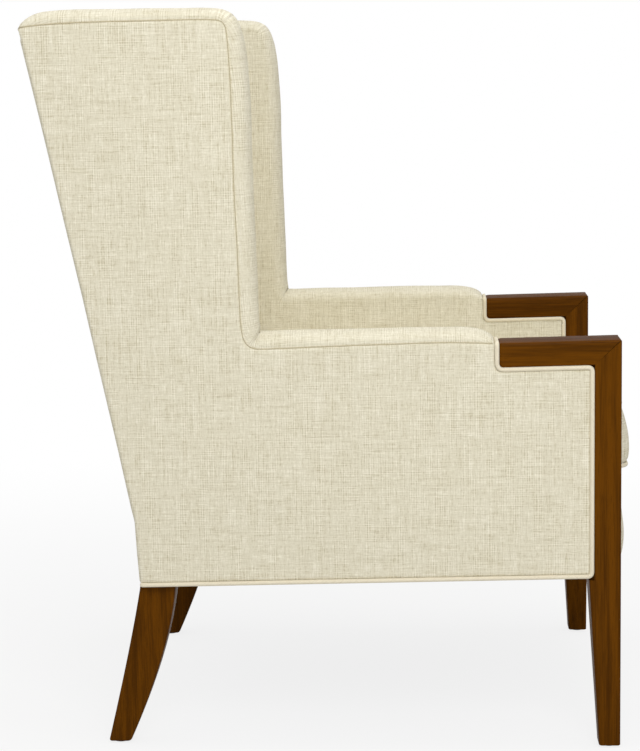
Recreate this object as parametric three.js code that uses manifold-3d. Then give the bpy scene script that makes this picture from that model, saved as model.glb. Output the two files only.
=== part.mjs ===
// Upholstered wing armchair with a show-wood arm and post, built as its frame, springs, padding, covers,
// piping and loose seat cushion. Millimetres, +Z up. The chair faces -Y and +X is the sitter's left.
import * as THREE from 'three';
import { mergeVertices } from 'three/addons/utils/BufferGeometryUtils.js';
import Module from 'manifold-3d';

const wasm = await Module();
wasm.setup();

// Overall body. Depths are measured backwards from the front face of the posts.
const chairWidth = 736;
const armHeight = 600.5;
const armFallShare = 0.02;
const sideThickness = 70;
const seatPitchShare = 0.017;
const deckHeight = 396;
const fit = 0.3;
const overrun = 60;

// Back and wing, as the side of the chair shows them.
const backFootDepth = 699;
const backBendDepth = 704.5;
const backBendHeight = 338;
const backTopDepth = 856;
const backTopHeight = 1053;
const wingTopWidth = 296;
const wingTopHeight = 1061;
const wingFootWidth = 158.5;
const wingFootRadius = 26;
const wingTopRadius = 12;
const topCrestFall = 2;
const rearCornerRun = 40;

// Show wood.
const woodArmLength = 174.6;
const woodArmDepth = 35;
const woodEndRadius = 6;
const postShownDepth = 38.5;
const postDepth = 46;
const rebate = 8;
const legTaperHeight = 250;
const legFootDepth = 31;
const legFootThickness = 40;
const rearLegProud = 2;
const rearLegTopDepth = 52;
const rearLegFootDepth = 32.5;
const rearLegSweep = 53.5;
const rearLegFrontBend = 8.4;
const rearLegFrontBendShare = 0.605;
const rearLegBackBend = 14.8;
const rearLegBackBendShare = 0.651;
const rearLegTopInset = 12;
const rearLegFootInset = 20;
const rearLegTopThickness = 46;
const rearLegFootThickness = 40;
const legDowelRadius = 6;
const legDowelLength = 70;
const glideRadius = 11;
const glideHeight = 3;

// Hidden frame lumber.
const railThickness = 28;
const seatRailTopDrop = 56;
const seatRailBottomDrop = 134;
const endRailTopDrop = 32;
const frontRailSetback = 8;
const backRailSetback = 7;
const backPostDepth = 45;
const wingPostWidth = 40;
const armRailHeight = 38;
const armTackRailHeight = 34;
const armTackRailThickness = 22;
const armTackRailLift = 8;
const topRailHeight = 45;
const backTackRailHeight = 40;
const backTackRailLift = 20;
const cornerBlockReach = 85;
const cornerBlockHeight = 45;

// Suspension.
const springCount = 5;
const springSpacing = 112;
const springWireRadius = 1.9;
const springLoops = 9;
const springLoopReach = 22;
const springBulge = 5;
const springArc = 15.6;
const springSeat = 16;
const webbingCount = 3;
const webbingWidth = 60;
const webbingThickness = 2;
const webbingClear = 68;
const webbingHold = 27;
const edgeRollDepth = 11;

// Padding and covers.
const coverThickness = 6;
const coverSetback = 1;
const innerPad = 20;
const bandPad = 22;
const crownArm = 22;
const armNoseRun = 32;
const noseShares = [1, 0.6, 0.3, 0.08, 0];
const crownWing = 25;
const crownTop = 18;
const topPadding = 16;
const innerPadDrop = 40;
const deckPadThickness = 12;
const deckPadStop = 44;
const backPadFootThickness = 107;
const backPadLumbarRun = 12;
const backPadLumbarRise = 204;
const backPadTopThickness = 62;
const backPadCrown = 16;
const backPadTopRadius = 30;
const borderThickness = 8;
const borderCrown = 11;
const dustCoverThickness = 1.5;
const dustCoverInset = 18;
const fabricEdgeDrop = 140.5;

// Piping.
const pipingRadius = 3.2;
const pipingProud = 1.6;
const pipingSides = 6;
const pipingBend = 8;

// Loose seat cushion.
const cushionHalfWidth = 290;
const cushionFront = -12;
const cushionBackGap = 11;
const cushionCorner = 34;
const cushionBoxing = 92;
const cushionBulge = 5;
const cushionCrown = 20;
const cushionSidePull = 4;
const cushionLean = 8;
const cushionFootLift = 6;
const cushionCover = 3;
const cushionPipingRadius = 2.9;
const zipLength = 440;
const zipHeight = 12;
const zipThickness = 2;
const zipSliderLength = 14;
const zipSliderHeight = 9;
const zipSliderThickness = 2.2;
const zipPullLength = 26;
const zipPullHeight = 5;
const zipPullThickness = 1.2;
const crownShares = [0.05, 0.14, 0.28, 0.46, 0.66, 0.86];

// Finishes.
const woodFinish = { color: 0x5c3410, roughness: 0.38 };
const frameFinish = { color: 0xc9a877, roughness: 0.75 };
const fabricFinish = { color: 0xded6ba, roughness: 0.95 };
const foamFinish = { color: 0xefe6c8, roughness: 0.95 };
const steelFinish = { color: 0x8c8f92, roughness: 0.35, metalness: 0.9 };
const webbingFinish = { color: 0x3a3a3c, roughness: 0.9 };
const clothFinish = { color: 0x25262a, roughness: 0.95 };
const glideFinish = { color: 0x2c2a28, roughness: 0.5 };

// Places worked out from the sizes above. All of them are for the +X side.
const outerX = chairWidth / 2;
const innerX = outerX - sideThickness;
const coverOuterX = outerX - coverSetback;
const coverInnerX = coverOuterX - coverThickness;
const frameOuterX = coverInnerX - fit;
const frameInnerX = innerX + innerPad + fit;
const pipingChannel = 2 * (pipingRadius + fit);
const pipingOuterX = outerX - pipingRadius + pipingProud;
const pipingInnerX = innerX + pipingRadius - pipingProud;
const legBase = glideHeight + fit;
const wingFootDepth = backBendDepth - wingFootWidth;
const wingTopDepth = backTopDepth - wingTopWidth;
const armPadFront = woodArmLength + pipingChannel;
const armPadMiddle = (wingFootDepth + armPadFront + armNoseRun) / 2;
const seamWing = armSeam(wingFootDepth);
const backFootHeight = seatLine(backFootDepth, fabricEdgeDrop);
const rearLegHeight = backFootHeight - fit;
const framePlane = coverThickness + fit;
const padPlane = framePlane + backPostDepth + webbingThickness + 2 * fit;
const frameTop = backTopHeight - topPadding;
const rearLegTopBack = backFootDepth + rearLegProud;
const rearLegTopFront = rearLegTopBack - rearLegTopDepth;
const rearLegFootBack = rearLegTopBack + rearLegSweep;
const rearLegFootFront = rearLegFootBack - rearLegFootDepth;
const webbingFirstHeight = deckHeight + backTackRailLift + backTackRailHeight + webbingClear;
const webbingLastHeight = frameTop - topRailHeight - webbingClear - webbingWidth;
const backPadFootDepth = backFootDepth - backPadFootThickness;
const cushionBack = backPadFootDepth - cushionBackGap;

// Height of a line that follows the pitch of the seat, a given drop below the deck.
function seatLine(depth, drop) {
  return deckHeight - seatPitchShare * depth - drop;
}

// Height of the top of the show arm, and of the seam of the padded arm behind it.
function armTop(depth) {
  return armHeight - armFallShare * depth;
}
function armSeam(depth) {
  return armTop(depth) + fit;
}
function armUnder(depth) {
  return armTop(depth) - woodArmDepth;
}

// Depth of the chair's rear edge at a height, and of the wing's front seam.
function rearEdge(height) {
  if (height < backBendHeight) {
    const share = (height - backFootHeight) / (backBendHeight - backFootHeight);
    return backFootDepth + share * (backBendDepth - backFootDepth);
  }
  const share = (height - backBendHeight) / (backTopHeight - backBendHeight);
  return backBendDepth + share * (backTopDepth - backBendDepth);
}
function wingEdge(height) {
  const share = (height - seamWing) / (wingTopHeight - seamWing);
  return wingFootDepth + share * (wingTopDepth - wingFootDepth);
}

// Solids and their booleans.
function toSolid(geometry) {
  const bare = geometry.index ? geometry.toNonIndexed() : geometry.clone();
  bare.deleteAttribute('normal');
  bare.deleteAttribute('uv');
  const merged = mergeVertices(bare, 1e-3);
  return new wasm.Manifold(new wasm.Mesh({
    numProp: 3,
    vertProperties: new Float32Array(merged.attributes.position.array),
    triVerts: new Uint32Array(merged.index.array),
  }));
}
function toGeometry(solid) {
  const mesh = solid.getMesh();
  const geometry = new THREE.BufferGeometry();
  geometry.setAttribute('position', new THREE.BufferAttribute(new Float32Array(mesh.vertProperties), 3));
  geometry.setIndex(new THREE.BufferAttribute(new Uint32Array(mesh.triVerts), 1));
  geometry.computeVertexNormals();
  return geometry;
}
function cut(geometry, ...cutters) {
  return toGeometry(cutters.reduce((left, cutter) => left.subtract(toSolid(cutter)), toSolid(geometry)));
}
function join(...geometries) {
  return toGeometry(geometries.map(toSolid).reduce((whole, next) => whole.add(next)));
}

// A box from its lowest to its highest corner.
function block([x0, y0, z0], [x1, y1, z1]) {
  const geometry = new THREE.BoxGeometry(x1 - x0, y1 - y0, z1 - z0);
  return geometry.translate((x0 + x1) / 2, (y0 + y1) / 2, (z0 + z1) / 2);
}

// A side-view outline of [depth, height] points, extruded across the chair from x0 to x1.
function sidePrism(points, x0, x1) {
  const shape = new THREE.Shape(points.map(([depth, height]) => new THREE.Vector2(depth, height)));
  const geometry = new THREE.ExtrudeGeometry(shape, { depth: x1 - x0, bevelEnabled: false });
  const toSide = new THREE.Matrix4().makeBasis(
    new THREE.Vector3(0, 1, 0), new THREE.Vector3(0, 0, 1), new THREE.Vector3(1, 0, 0));
  return geometry.applyMatrix4(toSide).translate(x0, 0, 0);
}

// An outline with its corners rounded. Each corner is { at: [a, b], radius, crown }.
function roundCorners(corners, arcSteps) {
  const outline = [];
  corners.forEach((corner, i) => {
    const here = new THREE.Vector2(...corner.at);
    if (!corner.radius) {
      outline.push({ at: here, crown: corner.crown || 0 });
      return;
    }
    const before = new THREE.Vector2(...corners[(i + corners.length - 1) % corners.length].at);
    const after = new THREE.Vector2(...corners[(i + 1) % corners.length].at);
    const inward = before.sub(here).normalize();
    const onward = after.sub(here).normalize();
    const half = Math.acos(THREE.MathUtils.clamp(inward.dot(onward), -1, 1)) / 2;
    const run = corner.radius / Math.tan(half);
    const start = here.clone().addScaledVector(inward, run);
    const end = here.clone().addScaledVector(onward, run);
    const arc = new THREE.QuadraticBezierCurve(start, here, end);
    arc.getPoints(arcSteps).forEach((at) => outline.push({ at, crown: corner.crown || 0 }));
  });
  return outline;
}

// A closed body through rings with equal counts of points, with a flat cap on the first and last ring.
function loft(rings, flatten) {
  const count = rings[0].length;
  const triangles = [];
  const add = (a, b, c) => triangles.push(...a.toArray(), ...b.toArray(), ...c.toArray());
  for (let j = 0; j + 1 < rings.length; j += 1) {
    for (let i = 0; i < count; i += 1) {
      const k = (i + 1) % count;
      add(rings[j][i], rings[j][k], rings[j + 1][k]);
      add(rings[j][i], rings[j + 1][k], rings[j + 1][i]);
    }
  }
  const cap = (ring, reverse) => {
    THREE.ShapeUtils.triangulateShape(ring.map(flatten), []).forEach(([a, b, c]) => {
      if (reverse) add(ring[c], ring[b], ring[a]);
      else add(ring[a], ring[b], ring[c]);
    });
  };
  cap(rings[0], true);
  cap(rings[rings.length - 1], false);
  const geometry = new THREE.BufferGeometry();
  geometry.setAttribute('position', new THREE.Float32BufferAttribute(triangles, 3));
  geometry.computeVertexNormals();
  return geometry;
}
const flattenSide = (p) => new THREE.Vector2(p.y, p.z);
const flattenPlan = (p) => new THREE.Vector2(p.x, p.y);

// A path through 3-D points whose inner corners are rounded.
function roundPath(points, radius, steps) {
  const path = [points[0]];
  for (let i = 1; i + 1 < points.length; i += 1) {
    const inward = points[i - 1].clone().sub(points[i]);
    const onward = points[i + 1].clone().sub(points[i]);
    const run = Math.min(radius, inward.length() / 3, onward.length() / 3);
    const start = points[i].clone().addScaledVector(inward.normalize(), run);
    const end = points[i].clone().addScaledVector(onward.normalize(), run);
    path.push(...new THREE.QuadraticBezierCurve3(start, points[i], end).getPoints(steps));
  }
  path.push(points[points.length - 1]);
  return path;
}

// A round cord along a polyline, with its section carried along without twist. A closed path has no ends.
function cord(path, radius, sides, closed = false) {
  const count = path.length;
  const tangents = path.map((p, i) => {
    const before = closed ? path[(i + count - 1) % count] : path[Math.max(i - 1, 0)];
    const after = closed ? path[(i + 1) % count] : path[Math.min(i + 1, count - 1)];
    return after.clone().sub(before).normalize();
  });
  const up = Math.abs(tangents[0].z) < 0.9 ? new THREE.Vector3(0, 0, 1) : new THREE.Vector3(1, 0, 0);
  let normal = up.sub(tangents[0].clone().multiplyScalar(up.dot(tangents[0]))).normalize();
  const rings = path.map((p, i) => {
    normal = normal.clone().sub(tangents[i].clone().multiplyScalar(normal.dot(tangents[i]))).normalize();
    const across = tangents[i].clone().cross(normal);
    return Array.from({ length: sides }, (unused, k) => {
      const angle = (2 * Math.PI * k) / sides;
      return p.clone().addScaledVector(normal, radius * Math.cos(angle))
        .addScaledVector(across, radius * Math.sin(angle));
    });
  });
  if (!closed) return capped(rings);
  return stitched([...rings, rings[0]]);
}
function stitched(rings) {
  const triangles = [];
  rings.slice(0, -1).forEach((ring, j) => ring.forEach((p, i) => {
    const k = (i + 1) % ring.length;
    const next = rings[j + 1];
    [p, ring[k], next[k], p, next[k], next[i]].forEach((q) => triangles.push(...q.toArray()));
  }));
  const geometry = new THREE.BufferGeometry();
  geometry.setAttribute('position', new THREE.Float32BufferAttribute(triangles, 3));
  geometry.computeVertexNormals();
  return geometry;
}
function capped(rings) {
  const body = Array.from(stitched(rings).attributes.position.array);
  const fan = (ring, reverse) => {
    for (let i = 1; i + 1 < ring.length; i += 1) {
      const corners = reverse ? [ring[0], ring[i + 1], ring[i]] : [ring[0], ring[i], ring[i + 1]];
      corners.forEach((q) => body.push(...q.toArray()));
    }
  };
  fan(rings[0], true);
  fan(rings[rings.length - 1], false);
  const geometry = new THREE.BufferGeometry();
  geometry.setAttribute('position', new THREE.Float32BufferAttribute(body, 3));
  geometry.computeVertexNormals();
  return geometry;
}

// Show wood: the post that becomes the front leg, and the arm mitred to it.
function frontPost() {
  const shoulder = legTaperHeight;
  const rect = (x0, x1, y1, z) => [
    new THREE.Vector3(x0, 0, z), new THREE.Vector3(x1, 0, z),
    new THREE.Vector3(x1, y1, z), new THREE.Vector3(x0, y1, z)];
  const leg = loft([
    rect(outerX - legFootThickness, outerX, legFootDepth, legBase),
    rect(innerX, outerX, postDepth, shoulder)], flattenPlan);
  const shown = sidePrism([
    [0, shoulder - fit], [postShownDepth, shoulder - fit],
    [postShownDepth, armUnder(postShownDepth)], [0, armTop(0)]], innerX, outerX);
  const tongue = sidePrism([
    [postShownDepth - fit, shoulder - fit], [postDepth, shoulder - fit],
    [postDepth, armUnder(postDepth) - 2 * fit], [postShownDepth - fit, armUnder(postDepth) - 2 * fit]],
  innerX + rebate, outerX - rebate);
  return join(leg, shown, tongue);
}
function showArm() {
  const gap = 2 * fit;
  const outline = roundCorners([
    { at: [gap, armTop(0)] },
    { at: [postShownDepth + gap, armUnder(postShownDepth)] },
    { at: [woodArmLength, armUnder(woodArmLength)], radius: woodEndRadius },
    { at: [woodArmLength, armTop(woodArmLength)] }], 4);
  return sidePrism(outline.map(({ at }) => at.toArray()), innerX, outerX);
}

// The rear leg sweeps backwards to the floor, each edge following one quadratic curve.
function rearLeg() {
  const front = new THREE.QuadraticBezierCurve(
    new THREE.Vector2(rearLegFootFront, legBase),
    new THREE.Vector2(rearLegTopFront + rearLegFrontBend, rearLegHeight * rearLegFrontBendShare),
    new THREE.Vector2(rearLegTopFront, rearLegHeight));
  const back = new THREE.QuadraticBezierCurve(
    new THREE.Vector2(rearLegFootBack, legBase),
    new THREE.Vector2(rearLegTopBack + rearLegBackBend, rearLegHeight * rearLegBackBendShare),
    new THREE.Vector2(rearLegTopBack, rearLegHeight));
  const levels = 10;
  const rings = [];
  for (let i = 0; i <= levels; i += 1) {
    const share = i / levels;
    const f = front.getPoint(share);
    const b = back.getPoint(share);
    const outer = outerX - THREE.MathUtils.lerp(rearLegFootInset, rearLegTopInset, share);
    const inner = outer - THREE.MathUtils.lerp(rearLegFootThickness, rearLegTopThickness, share);
    rings.push([
      new THREE.Vector3(inner, f.x, f.y), new THREE.Vector3(outer, f.x, f.y),
      new THREE.Vector3(outer, b.x, b.y), new THREE.Vector3(inner, b.x, b.y)]);
  }
  return cut(loft(rings, flattenPlan), legDowel(legDowelRadius + fit, legDowelLength + 2 * fit));
}
function legDowelPlace() {
  const y = (rearLegTopFront + rearLegTopBack) / 2;
  const x = outerX - rearLegTopInset - rearLegTopThickness / 2;
  return new THREE.Vector3(x, y, rearLegHeight);
}
function legDowel(radius, length) {
  const place = legDowelPlace();
  const geometry = new THREE.CylinderGeometry(radius, radius, length, 12);
  return geometry.rotateX(Math.PI / 2).translate(place.x, place.y, place.z);
}
function glide(x, y) {
  const geometry = new THREE.CylinderGeometry(glideRadius, glideRadius, glideHeight, 20);
  return geometry.rotateX(Math.PI / 2).translate(x, y, glideHeight / 2);
}

// Hidden frame.
function backPost() {
  const foot = rearLegHeight + fit;
  const near = (height) => [rearEdge(height) - framePlane - backPostDepth, height];
  const far = (height) => [rearEdge(height) - framePlane, height];
  const post = sidePrism([
    near(foot), far(foot), far(backBendHeight), far(frameTop), near(frameTop), near(backBendHeight)],
  frameInnerX, frameOuterX);
  return cut(post, legDowel(legDowelRadius + fit, legDowelLength + 2 * fit));
}
function backCrossRail(low, high) {
  const near = (height) => [rearEdge(height) - framePlane - backPostDepth, height];
  const far = (height) => [rearEdge(height) - framePlane, height];
  const reach = frameInnerX - fit;
  return sidePrism([near(low), far(low), far(high), near(high)], -reach, reach);
}
function wingPost() {
  const front = (height) => wingEdge(height) + bandPad + fit;
  const foot = seatLine(front(deckHeight), seatRailTopDrop) + fit;
  return sidePrism([
    [front(foot), foot], [front(foot) + wingPostWidth, foot - seatPitchShare * wingPostWidth],
    [front(frameTop) + wingPostWidth, frameTop], [front(frameTop), frameTop]], frameInnerX, frameOuterX);
}
function wingTopRail() {
  const near = (height) => [wingEdge(height) + bandPad + wingPostWidth + 2 * fit, height];
  const far = (height) => [rearEdge(height) - framePlane - backPostDepth - fit, height];
  const low = frameTop - topRailHeight;
  return sidePrism([near(low), far(low), far(frameTop), near(frameTop)], frameInnerX, frameOuterX);
}
function armRail() {
  const rear = (height) => wingEdge(height) + bandPad;
  const front = postDepth + fit;
  const step = woodArmLength + fit;
  const lowTop = armUnder(step) - 2 * fit;
  const top = (depth) => armSeam(depth) - bandPad - fit;
  const low = lowTop - armRailHeight;
  return sidePrism([
    [front, low], [rear(low), low], [rear(top(wingFootDepth)), top(wingFootDepth)],
    [step, top(step)], [step, lowTop], [front, lowTop]], frameInnerX, frameOuterX);
}
function armTackRail() {
  const front = postDepth + fit;
  const low = (depth) => seatLine(depth, -armTackRailLift);
  const rear = wingEdge(deckHeight) + bandPad;
  return sidePrism([
    [front, low(front)], [rear - fit, low(rear)],
    [rear - fit, low(rear) + armTackRailHeight], [front, low(front) + armTackRailHeight]],
  frameInnerX, frameInnerX + armTackRailThickness);
}
function pitchedBoard(y0, y1, topDrop, bottomDrop, x0, x1) {
  return sidePrism([
    [y0, seatLine(y0, bottomDrop)], [y1, seatLine(y1, bottomDrop)],
    [y1, seatLine(y1, topDrop)], [y0, seatLine(y0, topDrop)]], x0, x1);
}
const sideRailBack = rearEdge(backFootHeight) - framePlane - backPostDepth - 2 * fit;
function sideRail() {
  return pitchedBoard(postDepth + fit, sideRailBack, seatRailTopDrop, seatRailBottomDrop,
    frameOuterX - railThickness, frameOuterX);
}
const frontRailBack = frontRailSetback + railThickness;
const backRailBack = rearEdge(backFootHeight) - backRailSetback;
const backRailFront = backRailBack - railThickness;
function frontRail() {
  return pitchedBoard(frontRailSetback, frontRailBack, endRailTopDrop, seatRailBottomDrop,
    -(innerX - fit), innerX - fit);
}
function backRail() {
  return pitchedBoard(backRailFront, backRailBack, endRailTopDrop, seatRailBottomDrop,
    -(frameInnerX - fit), frameInnerX - fit);
}

// A corner block: a triangular prism that fills the corner of a rail and its neighbour.
function cornerBlock(y, towards) {
  const x1 = frameOuterX - railThickness - fit;
  const x0 = x1 - cornerBlockReach;
  const corners = [[x1, y], [x0, y], [x1, y + towards * cornerBlockReach]];
  const at = (drop) => corners.map(([x, depth]) => new THREE.Vector3(x, depth, seatLine(depth, drop)));
  const rings = [at(seatRailTopDrop + cornerBlockHeight), at(seatRailTopDrop)];
  return loft(towards > 0 ? rings.map((ring) => ring.reverse()) : rings, flattenPlan);
}
function frontCornerBlock() {
  const blockBody = cornerBlock(frontRailBack + fit, 1);
  const postRoom = block([innerX - fit, 0, 0], [outerX, postDepth + fit, deckHeight]);
  return cut(blockBody, postRoom);
}
function backCornerBlock() {
  const blockBody = cornerBlock(backRailFront - fit, -1);
  const postFront = rearEdge(backFootHeight) - framePlane - backPostDepth - fit;
  const postRoom = block([frameInnerX - fit, postFront, 0], [outerX, backFootDepth, deckHeight]);
  return cut(blockBody, postRoom);
}

// Suspension. A sinuous spring is one wire that weaves from rail to rail and arches under the deck.
function seatSpring(x) {
  const front = frontRailBack - springSeat + springWireRadius;
  const back = backRailFront + springSeat - springWireRadius;
  const steps = springLoops * 8;
  const path = [];
  for (let i = 0; i <= steps; i += 1) {
    const share = i / steps;
    const phase = 2 * Math.PI * springLoops * share;
    const depth = THREE.MathUtils.lerp(front, back, share) - springBulge * Math.sin(2 * phase);
    const arch = springArc * Math.sin(Math.PI * share);
    const rise = endRailTopDrop - fit - springWireRadius - arch;
    path.push(new THREE.Vector3(x + springLoopReach * Math.sin(phase), depth, seatLine(depth, rise)));
  }
  return cord(path, springWireRadius, 5);
}
function backWebbing(low) {
  const reach = frameInnerX + webbingHold;
  const near = (height) => [rearEdge(height) - framePlane - backPostDepth - fit - webbingThickness, height];
  const far = (height) => [rearEdge(height) - framePlane - backPostDepth - fit, height];
  const high = low + webbingWidth;
  return sidePrism([near(low), far(low), far(high), near(high)], -reach, reach);
}
function edgeRoll() {
  const y0 = frontRailSetback;
  const y1 = y0 + edgeRollDepth;
  const reach = innerX - 2 * fit;
  const foot = (depth) => seatLine(depth, endRailTopDrop) + fit;
  const top = (depth) => seatLine(depth, deckPadThickness) - fit;
  const outline = roundCorners([
    { at: [y0, foot(y0)] }, { at: [y1, foot(y1)] },
    { at: [y1, top(y1)], radius: edgeRollDepth / 3 }, { at: [y0, top(y0)], radius: edgeRollDepth / 3 }], 3);
  return sidePrism(outline.map(({ at }) => at.toArray()), -reach, reach);
}

// The seam of the padded side, from the post under the show arm, over arm and wing, to the back's foot.
function paddedOutline() {
  const foot = (depth) => seatLine(depth, innerPadDrop);
  const front = postDepth + fit;
  const under = (depth) => armUnder(depth) - pipingChannel;
  const nose = noseShares.map((share) => {
    const depth = armPadFront + share * armNoseRun;
    return { at: [depth, armSeam(depth)], crown: crownArm * Math.sqrt(1 - (1 - share) ** 2) };
  });
  return roundCorners([
    { at: [front, foot(front)] },
    { at: [rearEdge(foot(backBendDepth)), foot(backBendDepth)] },
    { at: [backTopDepth, backTopHeight] },
    { at: [backTopDepth - rearCornerRun / 4, backTopHeight + topCrestFall], crown: crownTop * 0.75 },
    { at: [backTopDepth - rearCornerRun, backTopHeight + 2 * topCrestFall], crown: crownTop },
    { at: [(wingTopDepth + backTopDepth) / 2, wingTopHeight - topCrestFall / 2], crown: crownTop },
    { at: [wingTopDepth, wingTopHeight], radius: wingTopRadius, crown: (crownTop + crownWing) / 2 },
    { at: [wingEdge((armHeight + wingTopHeight) / 2), (armHeight + wingTopHeight) / 2], crown: crownWing },
    { at: [wingFootDepth, seamWing], radius: wingFootRadius, crown: (crownWing + crownArm) / 2 },
    { at: [armPadMiddle, armSeam(armPadMiddle)], crown: crownArm },
    ...nose,
    { at: [armPadFront, under(armPadFront)] },
    { at: [front, under(front)], radius: pipingBend }], 5);
}
function outwardNormals(outline) {
  return outline.map((unused, i) => {
    const before = outline[(i + outline.length - 1) % outline.length].at;
    const after = outline[(i + 1) % outline.length].at;
    const along = after.clone().sub(before).normalize();
    return new THREE.Vector2(along.y, -along.x);
  });
}

// Inside arm and wing cover with its padding: the seam outline crowned across its width and opened inside.
function sideCover() {
  const outline = paddedOutline();
  const normals = outwardNormals(outline);
  const bands = 8;
  const rings = [];
  for (let j = 0; j <= bands; j += 1) {
    const across = -Math.cos((Math.PI * j) / bands);
    const x = THREE.MathUtils.lerp(innerX, frameOuterX, (across + 1) / 2);
    const swell = Math.sqrt(1 - across * across);
    rings.push(outline.map(({ at, crown }, i) => new THREE.Vector3(
      x, at.x + normals[i].x * crown * swell, at.y + normals[i].y * crown * swell)));
  }
  const body = loft(rings, flattenSide);
  const bandUnder = (depth) => armSeam(depth) - bandPad;
  const wingBack = (height) => wingEdge(height) + bandPad;
  const cavityTop = frameTop + fit;
  const front = postDepth + fit - overrun;
  const low = seatLine(backBendDepth, innerPadDrop) - overrun;
  const cavity = sidePrism([
    [front, low], [backTopDepth + overrun, low], [backTopDepth + overrun, cavityTop],
    [wingBack(cavityTop), cavityTop], [wingBack(bandUnder(wingFootDepth)), bandUnder(wingFootDepth)],
    [front, bandUnder(front)]], innerX + innerPad, outerX + overrun);
  const padRear = (height) => [rearEdge(height) - padPlane, height];
  const backRoom = sidePrism([
    [padRear(backBendHeight)[0], low], [backTopDepth + overrun, low], [backTopDepth + overrun, cavityTop],
    padRear(cavityTop), padRear(backBendHeight)], innerX - overrun, outerX + overrun);
  return cut(body, cavity, backRoom);
}

// Outside arm and wing panel, inside the same seam and clear of the piping.
function outsidePanel() {
  const front = postShownDepth + pipingChannel;
  const bottom = (depth) => seatLine(depth, fabricEdgeDrop) + pipingChannel;
  const under = (depth) => armUnder(depth) - pipingChannel;
  const outline = roundCorners([
    { at: [front, bottom(front)], radius: pipingBend },
    { at: [rearEdge(bottom(backFootDepth)), bottom(backFootDepth)] },
    { at: [backBendDepth, backBendHeight] },
    { at: [backTopDepth, backTopHeight] },
    { at: [backTopDepth - rearCornerRun, backTopHeight + 2 * topCrestFall] },
    { at: [wingTopDepth, wingTopHeight], radius: wingTopRadius },
    { at: [wingFootDepth, armSeam(wingFootDepth)], radius: wingFootRadius },
    { at: [armPadFront, armSeam(armPadFront)] },
    { at: [armPadFront, under(armPadFront)], radius: pipingBend },
    { at: [front, under(front)], radius: pipingBend }], 5);
  return sidePrism(outline.map(({ at }) => at.toArray()), coverInnerX, coverOuterX);
}
function outsideBack() {
  const low = backFootHeight + pipingChannel;
  const near = (height) => [rearEdge(height) - coverThickness, height];
  const far = (height) => [rearEdge(height), height];
  return sidePrism([near(low), far(low), far(backBendHeight), far(frameTop), near(frameTop),
    near(backBendHeight)], -frameOuterX, frameOuterX);
}

// Inside back: a crowned pad that leans on the webbing and rolls over the top rail.
function backPad() {
  const reach = innerX - fit;
  const foot = (depth) => seatLine(depth, 0) + fit;
  const padRear = (height) => rearEdge(height) - padPlane;
  const rollFoot = frameTop + 2 * fit;
  const topFront = padRear(backTopHeight) - backPadTopThickness;
  const lumbarDepth = backPadFootDepth + backPadLumbarRun;
  const lumbarHeight = deckHeight + backPadLumbarRise;
  const slices = 12;
  const rings = [];
  for (let j = 0; j <= slices; j += 1) {
    const across = -Math.cos((Math.PI * j) / slices);
    const swell = backPadCrown * Math.sqrt(1 - across ** 4);
    const front = new THREE.SplineCurve([
      new THREE.Vector2(backPadFootDepth + backPadCrown, foot(backPadFootDepth + backPadCrown)),
      new THREE.Vector2(backPadFootDepth + backPadCrown - swell, foot(backPadFootDepth) + cushionBoxing),
      new THREE.Vector2(lumbarDepth + backPadCrown - swell, lumbarHeight),
      new THREE.Vector2((lumbarDepth + topFront) / 2 + backPadCrown - swell,
        (lumbarHeight + backTopHeight) / 2),
      new THREE.Vector2(topFront + backPadCrown - swell, backTopHeight - backPadTopRadius),
      new THREE.Vector2(topFront + backPadTopRadius, backTopHeight + crownTop / 2),
      new THREE.Vector2(padRear(backTopHeight), backTopHeight + crownTop + topCrestFall)]);
    const outline = [
      [padRear(rollFoot), rollFoot],
      [rearEdge(rollFoot), rollFoot],
      [backTopDepth, backTopHeight],
      [backTopDepth - rearCornerRun / 4, backTopHeight + crownTop * 0.75],
      [backTopDepth - rearCornerRun, backTopHeight + crownTop + topCrestFall]];
    const face = front.getPoints(16).reverse().map((p) => p.toArray());
    const footBack = [padRear(foot(backBendDepth)), foot(padRear(foot(backBendDepth)))];
    const whole = [...outline, ...face, footBack];
    const x = reach * across;
    rings.push(whole.map(([depth, height]) => new THREE.Vector3(x, depth, height)));
  }
  return loft(rings, flattenSide);
}

// Front border: the crowned band of cover between the posts, in front of the seat's front rail.
function frontBorder() {
  const reach = innerX - fit;
  const back = frontRailSetback - fit;
  const low = seatLine(0, fabricEdgeDrop) + pipingChannel;
  const high = seatLine(0, 0) - fit;
  const slices = 8;
  const heights = 8;
  const rings = [];
  for (let j = 0; j <= slices; j += 1) {
    const across = -Math.cos((Math.PI * j) / slices);
    const x = reach * across;
    const ring = [new THREE.Vector3(x, back, low), new THREE.Vector3(x, back, high)];
    for (let i = 0; i <= heights; i += 1) {
      const share = i / heights;
      const swell = borderCrown * Math.sqrt(1 - across ** 8) * Math.sin(Math.PI * share) ** 0.6;
      const depth = back - borderThickness - swell;
      ring.push(new THREE.Vector3(x, depth, THREE.MathUtils.lerp(high, low, share)));
    }
    rings.push(ring);
  }
  return loft(rings, flattenSide);
}
function deckPad() {
  const reach = innerX - 2 * fit;
  return pitchedBoard(frontRailSetback, backFootDepth - deckPadStop, 0, deckPadThickness, -reach, reach);
}

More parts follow.
